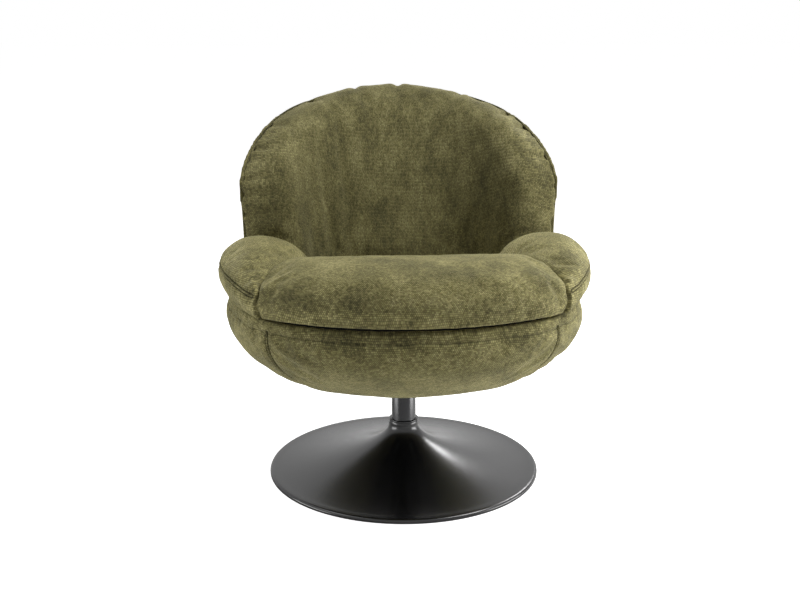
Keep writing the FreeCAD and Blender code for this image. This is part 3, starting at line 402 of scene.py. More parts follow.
def makeYarnGroup():
    # rows of short yarn floats, each row half a float out of step with the next
    tree, given, result = newGroup("wovenYarn", [
        ("Place", "NodeSocketVector", None), ("Rows", "NodeSocketFloat", 280.0),
        ("Floats", "NodeSocketFloat", 200.0), ("Unevenness", "NodeSocketFloat", 0.5),
    ], [("Height", "NodeSocketFloat"), ("Yarn", "NodeSocketFloat")])
    parts = newNode(tree, "ShaderNodeSeparateXYZ")
    wire(tree, given["Place"], parts, "Vector")
    waver = maths(tree, "SUBTRACT", noiseOf(tree, given["Place"], 70.0, 2.0), 0.5)
    waver = maths(tree, "MULTIPLY", waver, given["Unevenness"])
    row = maths(tree, "MULTIPLY_ADD", parts.outputs["Y"], given["Rows"], waver)
    step = maths(tree, "MULTIPLY", maths(tree, "FLOOR", row), 0.5)
    column = maths(tree, "MULTIPLY_ADD", parts.outputs["X"], given["Floats"], waver)
    column = maths(tree, "ADD", column, step)
    swell = []
    for value in (row, column):
        offset = maths(tree, "SUBTRACT", maths(tree, "FRACT", value), 0.5)
        bulge = maths(tree, "MULTIPLY", maths(tree, "MULTIPLY", offset, offset), 4.0)
        swell.append(maths(tree, "SUBTRACT", 1.0, bulge))
    yarn = maths(tree, "MULTIPLY_ADD", swell[0], 0.6, 0.4)
    yarn = maths(tree, "MULTIPLY", yarn, maths(tree, "MULTIPLY_ADD", swell[1], 0.6, 0.4))
    cell = newNode(tree, "ShaderNodeCombineXYZ")
    wire(tree, maths(tree, "FLOOR", column), cell, "X")
    wire(tree, maths(tree, "FLOOR", row), cell, "Y")
    twist = newNode(tree, "ShaderNodeTexWhiteNoise", noise_dimensions="2D")
    wire(tree, cell.outputs[0], twist, "Vector")
    fuzz = noiseOf(tree, given["Place"], 900.0, 4.0, 0.75)
    lustre = maths(tree, "MULTIPLY_ADD", twist.outputs["Value"], 0.75, 0.45)
    lustre = maths(tree, "MULTIPLY_ADD", maths(tree, "SUBTRACT", fuzz, 0.5), 1.4, lustre)
    tree.links.new(maths(tree, "MULTIPLY", yarn, lustre), result["Yarn"])
    tree.links.new(maths(tree, "MULTIPLY_ADD", fuzz, 0.5, yarn), result["Height"])
    return tree


def makeBlotchGroup():
    # brushed patches where the pile leans one way or the other
    tree, given, result = newGroup("brushedPatches", [
        ("Place", "NodeSocketVector", None), ("Stretch", "NodeSocketVector", (1.0, 1.0, 1.0)),
        ("Size", "NodeSocketFloat", 12.0), ("Contrast", "NodeSocketFloat", 1.0),
    ], [("Mask", "NodeSocketFloat")])
    scaled = newNode(tree, "ShaderNodeVectorMath", operation="MULTIPLY")
    wire(tree, given["Place"], scaled, 0)
    wire(tree, given["Stretch"], scaled, 1)
    large = noiseOf(tree, scaled.outputs[0], given["Size"], 4.0, 0.6, 0.15)
    small = noiseOf(tree, scaled.outputs[0], maths(tree, "MULTIPLY", given["Size"], 6.0), 4.0, 0.7, 0.1)
    large = maths(tree, "SUBTRACT", large, 0.5)
    both = maths(tree, "MULTIPLY_ADD", maths(tree, "SUBTRACT", small, 0.5), 0.7, large)
    mask = maths(tree, "MULTIPLY_ADD", both, maths(tree, "MULTIPLY", given["Contrast"], 2.2), 0.5)
    tree.links.new(maths(tree, "MINIMUM", maths(tree, "MAXIMUM", mask, 0.0), 1.0), result["Mask"])
    return tree


def makeGrainGroup():
    # fine unevenness of a coated or brushed metal face
    tree, given, result = newGroup("surfaceGrain", [
        ("Place", "NodeSocketVector", None), ("Stretch", "NodeSocketVector", (1.0, 1.0, 1.0)),
        ("Size", "NodeSocketFloat", 300.0),
    ], [("Height", "NodeSocketFloat"), ("Smear", "NodeSocketFloat")])
    scaled = newNode(tree, "ShaderNodeVectorMath", operation="MULTIPLY")
    wire(tree, given["Place"], scaled, 0)
    wire(tree, given["Stretch"], scaled, 1)
    tree.links.new(noiseOf(tree, scaled.outputs[0], given["Size"], 3.0), result["Height"])
    tree.links.new(noiseOf(tree, given["Place"], 7.0, 4.0, 0.6, 0.5), result["Smear"])
    return tree


yarnGroup = makeYarnGroup()
blotchGroup = makeBlotchGroup()
grainGroup = makeGrainGroup()


def startMaterial(name, **values):
    material = bpy.data.materials.new(name)
    material.use_nodes = True
    tree = material.node_tree
    shader = tree.nodes["Principled BSDF"]
    for label, value in values.items():
        shader.inputs[label.replace("_", " ")].default_value = value
    place = tree.nodes.new("ShaderNodeTexCoord").outputs["Object"]
    return material, tree, shader, place


def bump(tree, shader, height, depth, strength=1.0):
    node = newNode(tree, "ShaderNodeBump")
    node.inputs["Strength"].default_value = strength
    node.inputs["Distance"].default_value = depth
    wire(tree, height, node, "Height")
    wire(tree, node.outputs["Normal"], shader, "Normal")


chenille = {
    "dark": (0.064, 0.058, 0.023),
    "middle": (0.112, 0.101, 0.040),
    "light": (0.170, 0.154, 0.067),
    "gap": 0.22,                 # brightness between the yarns
    "lustre": 2.3,               # how much brighter the yarns are
    "rows": 350.0,
    "floats": 285.0,
    "patch": 15.0,
    "depth": 0.0009,
    "seamShade": -0.68,          # how much darker a groove is painted: painted shade
}


# the tone factor darkens all colours of the cloth; the back and the piping use it for painted shade
def makeChenille(name, stretch=(1.0, 1.0, 1.0), paintedShadeTone=1.0):
    material, tree, shader, place = startMaterial(name, Roughness=0.92, Sheen_Weight=0.5,
                                                  Sheen_Roughness=0.35)
    shader.inputs["Sheen Tint"].default_value = (0.76, 0.71, 0.42, 1)
    shader.inputs["Specular IOR Level"].default_value = 0.2
    cloth = newNode(tree, "ShaderNodeAttribute", attribute_name="clothPlace").outputs["Vector"]
    paintedGrooveShade = newNode(tree, "ShaderNodeAttribute", attribute_name="seamShade").outputs["Fac"]
    yarn = placeGroup(tree, yarnGroup, Rows=chenille["rows"], Floats=chenille["floats"], Unevenness=0.7)
    wire(tree, cloth, yarn, "Place")
    patches = placeGroup(tree, blotchGroup, Stretch=stretch, Size=chenille["patch"], Contrast=1.0)
    wire(tree, place, patches, "Place")
    tones = [tuple(paintedShadeTone * part for part in chenille[key]) for key in ("dark", "middle", "light")]
    colour = ramp(tree, patches.outputs["Mask"], [(0.05, tones[0]), (0.5, tones[1]), (0.98, tones[2])])
    thread = maths(tree, "MULTIPLY_ADD", yarn.outputs["Yarn"], chenille["lustre"], chenille["gap"])
    threaded = mixed(tree, "MULTIPLY", 1.0, colour, thread)
    # seamShade darkens the colour along the seams' grooves: painted shade
    shaded = maths(tree, "MULTIPLY_ADD", paintedGrooveShade, chenille["seamShade"], 1.0)
    wire(tree, mixed(tree, "MULTIPLY", 1.0, threaded, shaded), shader, "Base Color")
    bump(tree, shader, yarn.outputs["Height"], chenille["depth"])
    return material


def makePowderCoat(name, colour, rough, size=900.0):
    material, tree, shader, place = startMaterial(name, Roughness=rough)
    grain = placeGroup(tree, grainGroup, Size=size)
    wire(tree, place, grain, "Place")
    low = tuple(part * 0.8 for part in colour)
    high = tuple(part * 1.25 + 0.002 for part in colour)
    wire(tree, ramp(tree, grain.outputs["Smear"], [(0.3, low), (0.75, high)]), shader, "Base Color")
    wire(tree, maths(tree, "MULTIPLY_ADD", grain.outputs["Smear"], 0.10, rough - 0.05), shader, "Roughness")
    bump(tree, shader, grain.outputs["Height"], 0.00006, 0.5)
    return material


def makeMetal(name, colour, rough, stretch=(1.0, 1.0, 12.0)):
    material, tree, shader, place = startMaterial(name, Metallic=1.0, Roughness=rough)
    grain = placeGroup(tree, grainGroup, Stretch=stretch, Size=240.0)
    wire(tree, place, grain, "Place")
    low = tuple(part * 0.82 for part in colour)
    wire(tree, ramp(tree, grain.outputs["Height"], [(0.3, low), (0.7, colour)]), shader, "Base Color")
    wire(tree, maths(tree, "MULTIPLY_ADD", grain.outputs["Smear"], 0.2, rough - 0.1), shader, "Roughness")
    bump(tree, shader, grain.outputs["Height"], 0.00004, 0.6)
    return material


def makePlywood(name):
    material, tree, shader, place = startMaterial(name, Roughness=0.62)
    grain = placeGroup(tree, grainGroup, Stretch=(4.0, 60.0, 60.0), Size=6.0)
    wire(tree, place, grain, "Place")
    stops = [(0.3, (0.42, 0.27, 0.13)), (0.5, (0.60, 0.43, 0.24)), (0.72, (0.70, 0.54, 0.33))]
    wire(tree, ramp(tree, grain.outputs["Height"], stops), shader, "Base Color")
    bump(tree, shader, grain.outputs["Height"], 0.0002, 0.5)
    return material


def makeLinedPlywoodGapShade(name):
    # plywood whose rim is wrapped in near-black lining; the dark colour is also painted shade for the deep
    # gap between bowl and seat
    material, tree, shader, place = startMaterial(name, Roughness=0.85)
    grain = placeGroup(tree, grainGroup, Stretch=(4.0, 60.0, 60.0), Size=6.0)
    wire(tree, place, grain, "Place")
    stops = [(0.3, (0.42, 0.27, 0.13)), (0.7, (0.68, 0.51, 0.31))]
    wood = ramp(tree, grain.outputs["Height"], stops)
    flat = newNode(tree, "ShaderNodeVectorMath", operation="MULTIPLY")
    flat.inputs[1].default_value = (1, 1, 0)
    wire(tree, place, flat, 0)
    reach = newNode(tree, "ShaderNodeVectorMath", operation="LENGTH")
    wire(tree, flat.outputs[0], reach, 0)
    # near-black lining colour, darkened also as painted shade for the gap between bowl and seat
    stops = [(0.3, (0.006, 0.005, 0.003)), (0.7, (0.016, 0.014, 0.008))]
    liningGapShade = ramp(tree, noiseOf(tree, place, 500.0, 3.0), stops)
    linedGapShade = maths(tree, "GREATER_THAN", reach.outputs["Value"], chair["liningGapShadeStart"])
    wire(tree, mixed(tree, "MIX", linedGapShade, wood, liningGapShade), shader, "Base Color")
    return material


def makeFuzzy(name, colour, size):
    material, tree, shader, place = startMaterial(name, Roughness=0.95, Sheen_Weight=0.2)
    fibres = noiseOf(tree, place, size, 5.0, 0.75, 0.6)
    low = tuple(part * 0.55 for part in colour)
    wire(tree, ramp(tree, fibres, [(0.35, low), (0.65, colour)]), shader, "Base Color")
    bump(tree, shader, fibres, 0.0006, 0.8)
    return material


finishes = {
    "coat": makePowderCoat("satinBlackCoat", (0.0035, 0.0035, 0.0040), 0.24),
    "tube": makePowderCoat("darkTubeCoat", (0.014, 0.014, 0.016), 0.26),
    "plate": makePowderCoat("blackPlateCoat", (0.016, 0.016, 0.017), 0.45, 500.0),
    "ring": makePowderCoat("darkRing", (0.006, 0.006, 0.007), 0.20),
    "steel": makeMetal("rolledSteel", (0.42, 0.42, 0.43), 0.45),
    "zinc": makeMetal("zincPlate", (0.62, 0.62, 0.64), 0.32),
    "brass": makeMetal("cageBrass", (0.72, 0.55, 0.28), 0.34),
    "acetal": makePowderCoat("blackAcetal", (0.020, 0.020, 0.021), 0.42, 200.0),
    "plywood": makePlywood("birchPlywood"),
    "linedGapShade": makeLinedPlywoodGapShade("linedPlywoodGapShade"),
    "felt": makeFuzzy("needleFelt", (0.045, 0.045, 0.047), 420.0),
    "webbing": makeFuzzy("elasticWebbing", (0.11, 0.10, 0.09), 260.0),
}
cover = makeChenille("oliveChenille")
# the back pad and its rear panel use the chenille darkened to 0.74: painted shade
paintedShadeBackCover = makeChenille("oliveChenilleBackPaintedShade", stretch=(1.25, 1.25, 0.55), paintedShadeTone=0.74)
# the piping cord and the stitch thread use the chenille darkened to half: painted shade along the back's
# edge and the seams
paintedShadePipingCover = makeChenille("pipingChenillePaintedShade", paintedShadeTone=0.5)
print("materials made")


# The record's plain parts keep their shape and get a finish
nodeFinish = {
    "felt": ["floor_pad"],
    "steel": ["base_weight", "column_hub", "column_plug"],
    "plate": ["taper_socket", "seat_plate", "back_bracket_left", "back_bracket_right"],
    "acetal": ["upper_bush"],
    "brass": ["bearing_cage"],
    "zinc": ["hub_screws", "bearing_washer_lower", "bearing_washer_upper", "bearing_balls", "spindle",
             "plate_washers", "plate_bolts", "t_nuts", "deck_screws", "arm_screws", "back_screws"],
    "linedGapShade": ["deck_frame"],
    "plywood": ["mount_block", "bowl_shell", "arm_core_left", "arm_core_right", "back_shell"],
    "webbing": ["seat_webbing"],
}


def dressNodes():
    for finish, names in nodeFinish.items():
        for name in names:
            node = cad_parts[name]
            node.data.materials.clear()
            node.data.materials.append(finishes[finish])
    print("hardware dressed")


# Bowl

bowl = {
    "voxel": 0.0075, "smooth": 3, "inset": 0.0025, "pressure": 3.0, "slack": 0.01, "bending": 1.0,
    "frames": 12, "cap": 0.004, "seamHold": 0.006, "unevenness": 0.0016, "seed": 1,
    "welt": 0.375,                               # level of the seam under the rim
    "sideSeams": (-135, -45, 45, 135),           # plan angles from the front, degrees
    "seamDip": 62,                               # how far the side seams run under the bowl, degrees
    "seamReach": 0.7,                            # their rays start this far from the bowl's middle
    "settled": 0.30, "girth": 0.34, "fill": 0.9,
}

# A double row of topstitching
seam = {
    "divisions": 2, "band": 0.009, "spacing": 0.0064, "groove": 0.0020, "grooveWidth": 0.0012,
    "fold": 0.0010, "valley": 0.0020, "valleyWidth": 0.012, "tug": 0.0005, "tugRate": 0.75,
    "shade": 1.0,
}

# One crease, where two panels are joined without topstitching
crease = {
    "divisions": 1, "band": 0.009, "spacing": 0.0004, "groove": 0.0009, "grooveWidth": 0.0016,
    "fold": 0.0, "valley": 0.0012, "valleyWidth": 0.012, "tug": 0.0, "tugRate": 0.75, "shade": 0.6,
}


def bowlWelt(piece):
    turns = [math.radians(k) for k in range(0, 361, 3)]
    return [filled(hits(surfaceTree(piece), [inwardRay(turn, bowl["welt"]) for turn in turns]))]


def bowlSeams(piece):
    tree = surfaceTree(piece)
    lines = []
    eye = Vector((0, 0, bowl["welt"]))
    for turn in bowl["sideSeams"]:
        angle = math.radians(turn)
        rays = []
        for dip in range(0, bowl["seamDip"], 3):
            fall = math.radians(dip)
            out = bowl["seamReach"] * math.cos(fall)
            down = bowl["seamReach"] * math.sin(fall)
            rays.append((eye + planPoint(angle, out, -down), eye))
        lines.append(filled(hits(tree, rays)))
    return lines


def makeBowl():
    piece = clothPiece("bowl_pad", "bowlCover", bowl, bowlSeams, ["deck_frame", "mount_block"])
    lines = bowlSeams(piece)
    settleEdge(piece, chair["seamLevel"], bowl["settled"])
    seamBand(piece, bowlWelt(piece), crease)
    seamBand(piece, lines, seam)
    co = coordinates(piece.data)
    angle = planAngle(co)
    reach = planReach(co)
    layWeave(piece, angle * bowl["girth"], co[:, 2] + reach - largestAt(angle, reach))
    finishPiece(piece, "chair", cover)
    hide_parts("bowl_pad")
    return piece, lines


# Seat

seat = {
    "voxel": 0.0065, "smooth": 3, "inset": 0.003, "pressure": 4.0, "slack": 0.015, "bending": 0.8,
    "frames": 14, "cap": 0.006, "seamHold": 0.005, "unevenness": 0.0024, "seed": 2,
    "settled": 0.28, "fill": 0.8,
}


def noSeams(piece):
    return []


def makeSeat():
    piece = clothPiece("seat_cushion", "seatCushion", seat, noSeams,
                       ["deck_frame", "arm_left", "arm_right", "back_pad"])
    settleEdge(piece, chair["seamLevel"], seat["settled"])
    co = coordinates(piece.data)
    layWeave(piece, co[:, 0], co[:, 2] + co[:, 1] + largestAt(co[:, 0], -co[:, 1]))
    finishPiece(piece, "chair", cover)
    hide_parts("seat_cushion")
    return piece


# Arms

arm = {
    "voxel": 0.0055, "smooth": 3, "inset": 0.003, "pressure": 4.0, "slack": 0.015, "bending": 0.8,
    "frames": 14, "cap": 0.006, "seamHold": 0.005, "unevenness": 0.0018, "seed": 3,
    "seamRise": (0.440, 0.453, 0.454, 0.446),    # levels of the stitched seam from the tip to the back
    "settled": 0.20, "girth": 0.33, "fill": 0.85,
    "rollReach": 0.29, "rollLevel": 0.43,        # middle of the arm's section, round which the weave runs
    "rollRadius": 0.07,
}


def armSeamsFor(side):
    def armSeams(piece):
        tree = surfaceTree(piece)
        rays = []
        for k in range(45):
            share = k / 44
            angle = side * (chair["armStart"] + share * (chair["armFinish"] - chair["armStart"]))
            level = float(np.interp(share, (0, 0.25, 0.55, 1), arm["seamRise"]))
            rays.append(inwardRay(angle, level))
        return [filled(hits(tree, rays))]
    return armSeams


def makeArm(side, node, name):
    look = dict(arm, seed=arm["seed"] + (side > 0))
    seams = armSeamsFor(side)
    piece = clothPiece(node, name, look, seams, ["deck_frame", "seat_cushion", "back_pad"])
    settleEdge(piece, chair["seamLevel"], arm["settled"])
    lines = seams(piece)
    seamBand(piece, lines, seam)
    co = coordinates(piece.data)
    roll = np.arctan2(co[:, 2] - arm["rollLevel"], planReach(co) - arm["rollReach"])
    layWeave(piece, planAngle(co) * arm["girth"], roll * arm["rollRadius"])
    finishPiece(piece, "chair", cover)
    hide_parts(node)
    return piece, lines


joint = {
    "angle": math.radians(47.0),                 # plan angle at which seat and arm meet
    "reach": 0.026,                              # length of cover that is drawn flush on either side
    "depth": 0.024,                              # faces deeper in the joint stay where they are
    "low": 0.399, "high": 0.446, "lowFade": 0.006, "highFade": 0.018, "depthFade": 0.004,
    "valley": 0.0014, "valleyWidth": 0.004, "fade": 1.6,
}


def reachesAt(piece, angle, levels):
    tree = surfaceTree(piece)
    points = [hits(tree, [inwardRay(angle, level)]) for level in levels]
    reaches = np.array([point[0].to_2d().length if point else np.nan for point in points])
    known = np.isfinite(reaches)
    return np.interp(levels, levels[known], reaches[known])


def closeJoint(seatPiece, armPiece, side):
    # seat and arm are sewn edge to edge at the front corner, so their covers meet flush there
    turn = joint["reach"] / chair["girth"]
    levels = np.linspace(joint["low"], joint["high"] + 0.02, 16)
    seatReach = reachesAt(seatPiece, side * (joint["angle"] - turn), levels)
    armReach = reachesAt(armPiece, side * (joint["angle"] + turn), levels)
    for piece in (seatPiece, armPiece):
        co = coordinates(piece.data)
        level = co[:, 2]
        reach = planReach(co)
        along = (np.arctan2(side * co[:, 0], -co[:, 1]) - joint["angle"]) * chair["girth"]
        share = np.clip(along / joint["reach"] * 0.5 + 0.5, 0, 1)
        seatEdge = np.interp(level, levels, seatReach)
        armEdge = np.interp(level, levels, armReach)
        bridge = (1 - share) * seatEdge + share * armEdge
        short = bridge - joint["valley"] * bell(along, joint["valleyWidth"]) - reach
        lift = np.clip(joint["fade"] * (1 - np.abs(along) / joint["reach"]), 0, 1)
        lift *= np.clip((joint["high"] - level) / joint["highFade"], 0, 1)
        lift *= np.clip((level - joint["low"]) / joint["lowFade"], 0, 1)
        lift *= (short > 0) * np.clip((joint["depth"] - short) / joint["depthFade"], 0, 1)
        co[:, :2] *= (1 + lift * short / np.maximum(reach, 0.05))[:, None]
        setCoordinates(piece.data, co)


# Back

back = {
    "voxel": 0.0075, "smooth": 3, "inset": 0.003, "pressure": 3.5, "slack": 0.015, "bending": 0.9,
    "frames": 12, "cap": 0.006, "seamHold": 0.005, "unevenness": 0.0024, "seed": 6,
    "rimStretch": 0.0045,                        # the pad's rim is drawn out over the piping
    "middle": 0.56, "stretchWidth": 0.020, "fill": 0.85,
    "foldWidth": 0.006, "foldSpread": 0.13, "foldLength": 0.055, "ridge": 0.22,
    "depthLow": 0.206, "depthTop": 0.082, "wingLow": 0.118, "wingTop": 0.084,
    "crestStart": 0.69, "crestHeight": 0.05, "girth": 0.25,
}

rear = {
    "voxel": 0.0045, "smooth": 2, "inset": 0.0004, "pressure": 1.0, "slack": 0.0, "bending": 1.0,
    "frames": 8, "cap": 0.002, "seamHold": 0.005, "unevenness": 0.0006, "seed": 8,
    "sideSeams": (-42, 42),                      # degrees about the back's own centre line
    "seamFoot": 0.405, "seamTop": 0.706, "fill": 0.9,
}

piping = {
    "radius": 0.0019, "inward": 0.0092, "drop": 0.0026, "dropAbove": 0.45,
    "depth": 0.009, "pullWidth": 0.011, "step": 0.004,
}

# Places along the edge where the cover is gathered, as (across, level, pull)
gathers = (
    (-0.336, 0.470, 0.0030), (-0.336, 0.523, 0.0045), (-0.336, 0.564, 0.0050), (-0.334, 0.601, 0.0045),
    (-0.314, 0.661, 0.0050), (-0.279, 0.704, 0.0050), (-0.188, 0.751, 0.0055), (-0.092, 0.768, 0.0060),
    (0.010, 0.771, 0.0075), (0.155, 0.758, 0.0060), (0.254, 0.722, 0.0060), (0.287, 0.698, 0.0040),
    (0.323, 0.640, 0.0030), (0.335, 0.575, 0.0026), (0.336, 0.500, 0.0020),
)


def backRadius(level):
    return chair["backFoot"] + math.tan(chair["backLean"]) * (level - chair["seamLevel"])


def backPoint(across, level, inward):
    # a point on the back's outer surface, moved inward by a depth
    radius = backRadius(level)
    angle = math.asin(max(-1, min(1, across / backRadius(chair["backWidest"]))))
    reach = radius - inward
    return Vector((reach * math.sin(angle), chair["backCentre"] + reach * math.cos(angle), level))


def backEdge():
    # the back's edge seen from the front, as (across, level), from the top's middle to the right foot
    corner = chair["backCorner"]
    centre = chair["backHalfWidth"] - corner
    rise = chair["backTop"] - chair["backWidest"]
    wide = (centre * centre + rise * rise - corner * corner) / (2 * (rise - corner))
    meeting = centre * wide / (wide - corner)
    edge = []
    for k in range(24):
        across = meeting * k / 24
        edge.append((across, chair["backTop"] - wide + math.sqrt(wide * wide - across * across)))
    first = math.acos((meeting - centre) / corner)
    for k in range(33):
        turn = first * (1 - k / 32)
        edge.append((centre + corner * math.cos(turn), chair["backWidest"] + corner * math.sin(turn)))
    for k in range(1, 13):
        level = chair["backWidest"] + (chair["seamLevel"] - chair["backWidest"]) * k / 12
        edge.append((chair["backHalfWidth"], level))
    return edge


def pipingPath(inward, drop):
    half = backEdge()
    whole = [(-across, level) for across, level in reversed(half[1:])] + half
    narrowed = 1 - drop / chair["backHalfWidth"]
    return [backPoint(across * narrowed, level - drop * (level > piping["dropAbove"]), inward)
            for across, level in whole]


def gatherPull(points):
    pull = np.zeros(len(points))
    for across, level, amount in gathers:
        place = backPoint(across, level, piping["depth"])
        away = np.linalg.norm(np.array(points) - np.array(place), axis=1)
        pull += amount * bell(away, piping["pullWidth"])
    return pull


def gatherBack(piece):
    # short folds run from each gather over the rounded edge towards the front of the pad
    co = coordinates(piece.data)
    edge = filled(pipingPath(piping["depth"], 0.0))
    away, index = distances(co, edge)
    outward = co - np.array((0, chair["backCentre"], back["middle"]))
    outward /= np.linalg.norm(outward, axis=1, keepdims=True)
    co += outward * (back["rimStretch"] * bell(away, back["stretchWidth"]))[:, None]
    setCoordinates(piece.data, co)
    places = [backPoint(across, level, piping["depth"]) for across, level, amount in gathers]
    where = distances(places, edge)[1]
    width = back["foldWidth"] + back["foldSpread"] * away
    fold = np.zeros(len(co))
    for spot, (across, level, amount) in zip(where, gathers):
        offset = (index - spot) * 0.001
        ridge = bell(np.abs(offset) - 2.2 * width, 1.3 * width)
        fold += amount * (bell(offset, width) - back["ridge"] * ridge) * np.exp(-away / back["foldLength"])
    moveAlongNormals(piece.data, -fold)


def rearSeams(piece):
    tree = surfaceTree(piece)
    lines = []
    outside = chair["outside"]
    for turn in rear["sideSeams"]:
        angle = math.radians(turn)
        rays = []
        for k in range(41):
            level = rear["seamFoot"] + (rear["seamTop"] - rear["seamFoot"]) * k / 40
            middle = Vector((0, chair["backCentre"], level))
            rays.append((middle + Vector((outside * math.sin(angle), outside * math.cos(angle), 0)), middle))
        lines.append(filled(hits(tree, rays)))
    return lines


def backWeave(piece):
    co = coordinates(piece.data)
    behind = co[:, 1] - chair["backCentre"]
    angle = np.arctan2(co[:, 0], behind)
    climb = (co[:, 2] - chair["seamLevel"]) / (chair["backTop"] - chair["seamLevel"])
    depth = back["depthLow"] + (back["depthTop"] - back["depthLow"]) * climb
    wing = back["wingLow"] + (back["wingTop"] - back["wingLow"]) * climb
    depth += (wing - depth) * np.sin(angle) ** 2
    front = backRadius(co[:, 2]) - depth
    crest = np.clip((co[:, 2] - back["crestStart"]) / back["crestHeight"], 0, 1)
    reach = np.hypot(co[:, 0], behind)
    along = angle * back["girth"] + np.sin(angle) * reach
    layWeave(piece, along, co[:, 2] + crest * np.maximum(0, reach - front))


def makeBack():
    pad = clothPiece("back_pad", "backPad", back, noSeams,
                     ["deck_frame", "back_rear_cover", "arm_left", "arm_right", "seat_cushion"])
    gatherBack(pad)
    backWeave(pad)
    finishPiece(pad, "chair", paintedShadeBackCover)
    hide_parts("back_pad")
    rearPanel = clothPiece("back_rear_cover", "backRearCover", rear, rearSeams,
                           ["deck_frame", "back_pad", "back_shell"])
    lines = rearSeams(rearPanel)
    seamBand(rearPanel, lines, dict(seam, divisions=1))
    backWeave(rearPanel)
    finishPiece(rearPanel, "chair", paintedShadeBackCover)
    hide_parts("back_rear_cover")
    return rearPanel, lines


def makePiping():
    # a round cord sewn in along the edge between pad and rear cover
    line = filled(pipingPath(piping["inward"], piping["drop"]), piping["step"])
    pull = gatherPull(line)
    bpy.ops.curve.primitive_bezier_curve_add()
    cord = bpy.context.object
    cord.name = "backPiping"
    cord.location = (0, 0, 0)
    spline = cord.data.splines.new("POLY")
    cord.data.splines.remove(cord.data.splines[0])
    spline.points.add(len(line) - 1)
    middle = Vector((0, chair["backCentre"], back["middle"]))
    for point, place, amount in zip(spline.points, line, pull):
        point.co = (*(place + (middle - place).normalized() * amount), 1)
    cord.data.dimensions = "3D"
    cord.data.bevel_depth = piping["radius"]
    cord.data.bevel_resolution = 3
    cord.data.use_fill_caps = True
    activate(cord)
    bpy.ops.object.convert(target="MESH")
    away, index = distances(coordinates(cord.data), line)
    layWeave(cord, index * piping["step"], away * 3)
    # the cord's darkened cloth is painted shade
    finishPiece(cord, "chair", paintedShadePipingCover)
    print("piping made")


# Pedestal

base = {
    "radius": 0.280, "weightRadius": 0.266, "neckBore": 0.0285, "neckRadius": 0.0305, "wall": 0.002,
    "neckTop": 0.107, "knee": 0.100, "rimTop": 0.009, "rimRound": 0.006, "lip": 0.001,
    "flareDrop": 0.045, "flareReach": 0.099, "flareRise": 0.006, "steps": 144, "bevel": 0.0006,
}


def curvePoints(poles, count):
    points = []
    for k in range(count + 1):
        share = k / count
        rest = 1 - share
        weights = (rest ** 3, 3 * share * rest ** 2, 3 * share ** 2 * rest, share ** 3)
        points.append(tuple(sum(w * pole[i] for w, pole in zip(weights, poles)) for i in (0, 1)))
    return points


def spunPiece(name, profile, steps):
    # a profile of (radius, level) points, extruded point by point and spun about the swivel axis
    bpy.ops.mesh.primitive_plane_add(size=0.01, location=(0, 0, 0))
    piece = bpy.context.object
    piece.name = name
    bpy.ops.object.mode_set(mode="EDIT")
    bpy.ops.mesh.select_all(action="SELECT")
    bpy.ops.mesh.merge(type="CENTER")
    bpy.ops.transform.translate(value=(profile[0][0], 0, profile[0][1]))
    for (radius, level), (lastRadius, lastLevel) in zip(profile[1:], profile):
        step = (radius - lastRadius, 0, level - lastLevel)
        bpy.ops.mesh.extrude_vertices_move(TRANSFORM_OT_translate={"value": step})
    bpy.ops.mesh.select_all(action="SELECT")
    bpy.ops.mesh.spin(steps=steps, angle=2 * math.pi, center=(0, 0, 0), axis=(0, 0, 1))
    bpy.ops.mesh.select_all(action="SELECT")
    bpy.ops.mesh.remove_doubles(threshold=0.00001)
    bpy.ops.mesh.normals_make_consistent(inside=False)
    bpy.ops.object.mode_set(mode="OBJECT")
    return piece


def flare(neck, drop, rim, count):
    edge = base["weightRadius"] - 0.002
    poles = ((neck, base["knee"]), (neck, base["knee"] - drop),
             (edge - base["flareReach"], rim + base["flareRise"]), (edge, rim))
    return curvePoints(poles, count)


def rimArc(radius):
    centre = (base["radius"] - base["rimRound"], base["rimTop"] - base["rimRound"])
    turns = [math.radians(90 - 15 * k) for k in range(7)]
    return [(centre[0] + radius * math.cos(turn), centre[1] + radius * math.sin(turn)) for turn in turns]


def makeBase():
    radius, bevel, wall, neckTop = (base[key] for key in ("neckRadius", "bevel", "wall", "neckTop"))
    outer = [(radius - bevel, neckTop), (radius, neckTop - bevel)]
    outer += flare(radius, base["flareDrop"], base["rimTop"], 40)
    outer += rimArc(base["rimRound"])
    outer.append((base["radius"], base["lip"]))
    inner = [(base["neckBore"], neckTop)]
    inner += flare(base["neckBore"], base["flareDrop"] + wall / 2, base["rimTop"] - wall, 24)
    inner += rimArc(base["rimRound"] - wall)
    inner.append((base["radius"] - wall, base["lip"]))
    profile = outer + inner[::-1] + outer[:1]
    piece = spunPiece("baseCover", profile, base["steps"])
    finishPiece(piece, "base", finishes["coat"], 50)
    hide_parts("base_cover")
    print("base made")


column = {"radius": 0.025, "bore": 0.0225, "foot": 0.020, "top": 0.164, "bevel": 0.0006}
ring = {"sleeveFoot": 0.099, "cap": 0.1095, "bevel": 0.0007}


def makeColumn():
    radius, bore, foot, top, bevel = (column[key] for key in ("radius", "bore", "foot", "top", "bevel"))
    profile = [(bore, foot), (radius, foot), (radius, top - bevel),
               (radius - bevel * 0.3, top - bevel * 0.3), (radius - bevel, top), (bore, top), (bore, foot)]
    tube = spunPiece("columnTube", profile, 64)
    finishPiece(tube, "base", finishes["tube"], 35)
    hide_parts("column_tube")
    low, high, bevel = ring["sleeveFoot"], ring["cap"], ring["bevel"]
    inside, sleeve, outside, shoulder = radius, base["neckBore"], base["neckRadius"], base["neckTop"]
    profile = [(inside, low), (sleeve, low), (sleeve, shoulder), (outside, shoulder),
               (outside, high - bevel), (outside - bevel * 0.3, high - bevel * 0.3),
               (outside - bevel, high), (inside, high), (inside, low)]
    collar = spunPiece("neckRing", profile, 72)
    finishPiece(collar, "base", finishes["ring"], 35)
    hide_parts("neck_ring")
    print("column made")


# Topstitching

stitch = {"length": 0.0042, "gap": 0.0024, "radius": 0.00042, "sink": 0.00036}


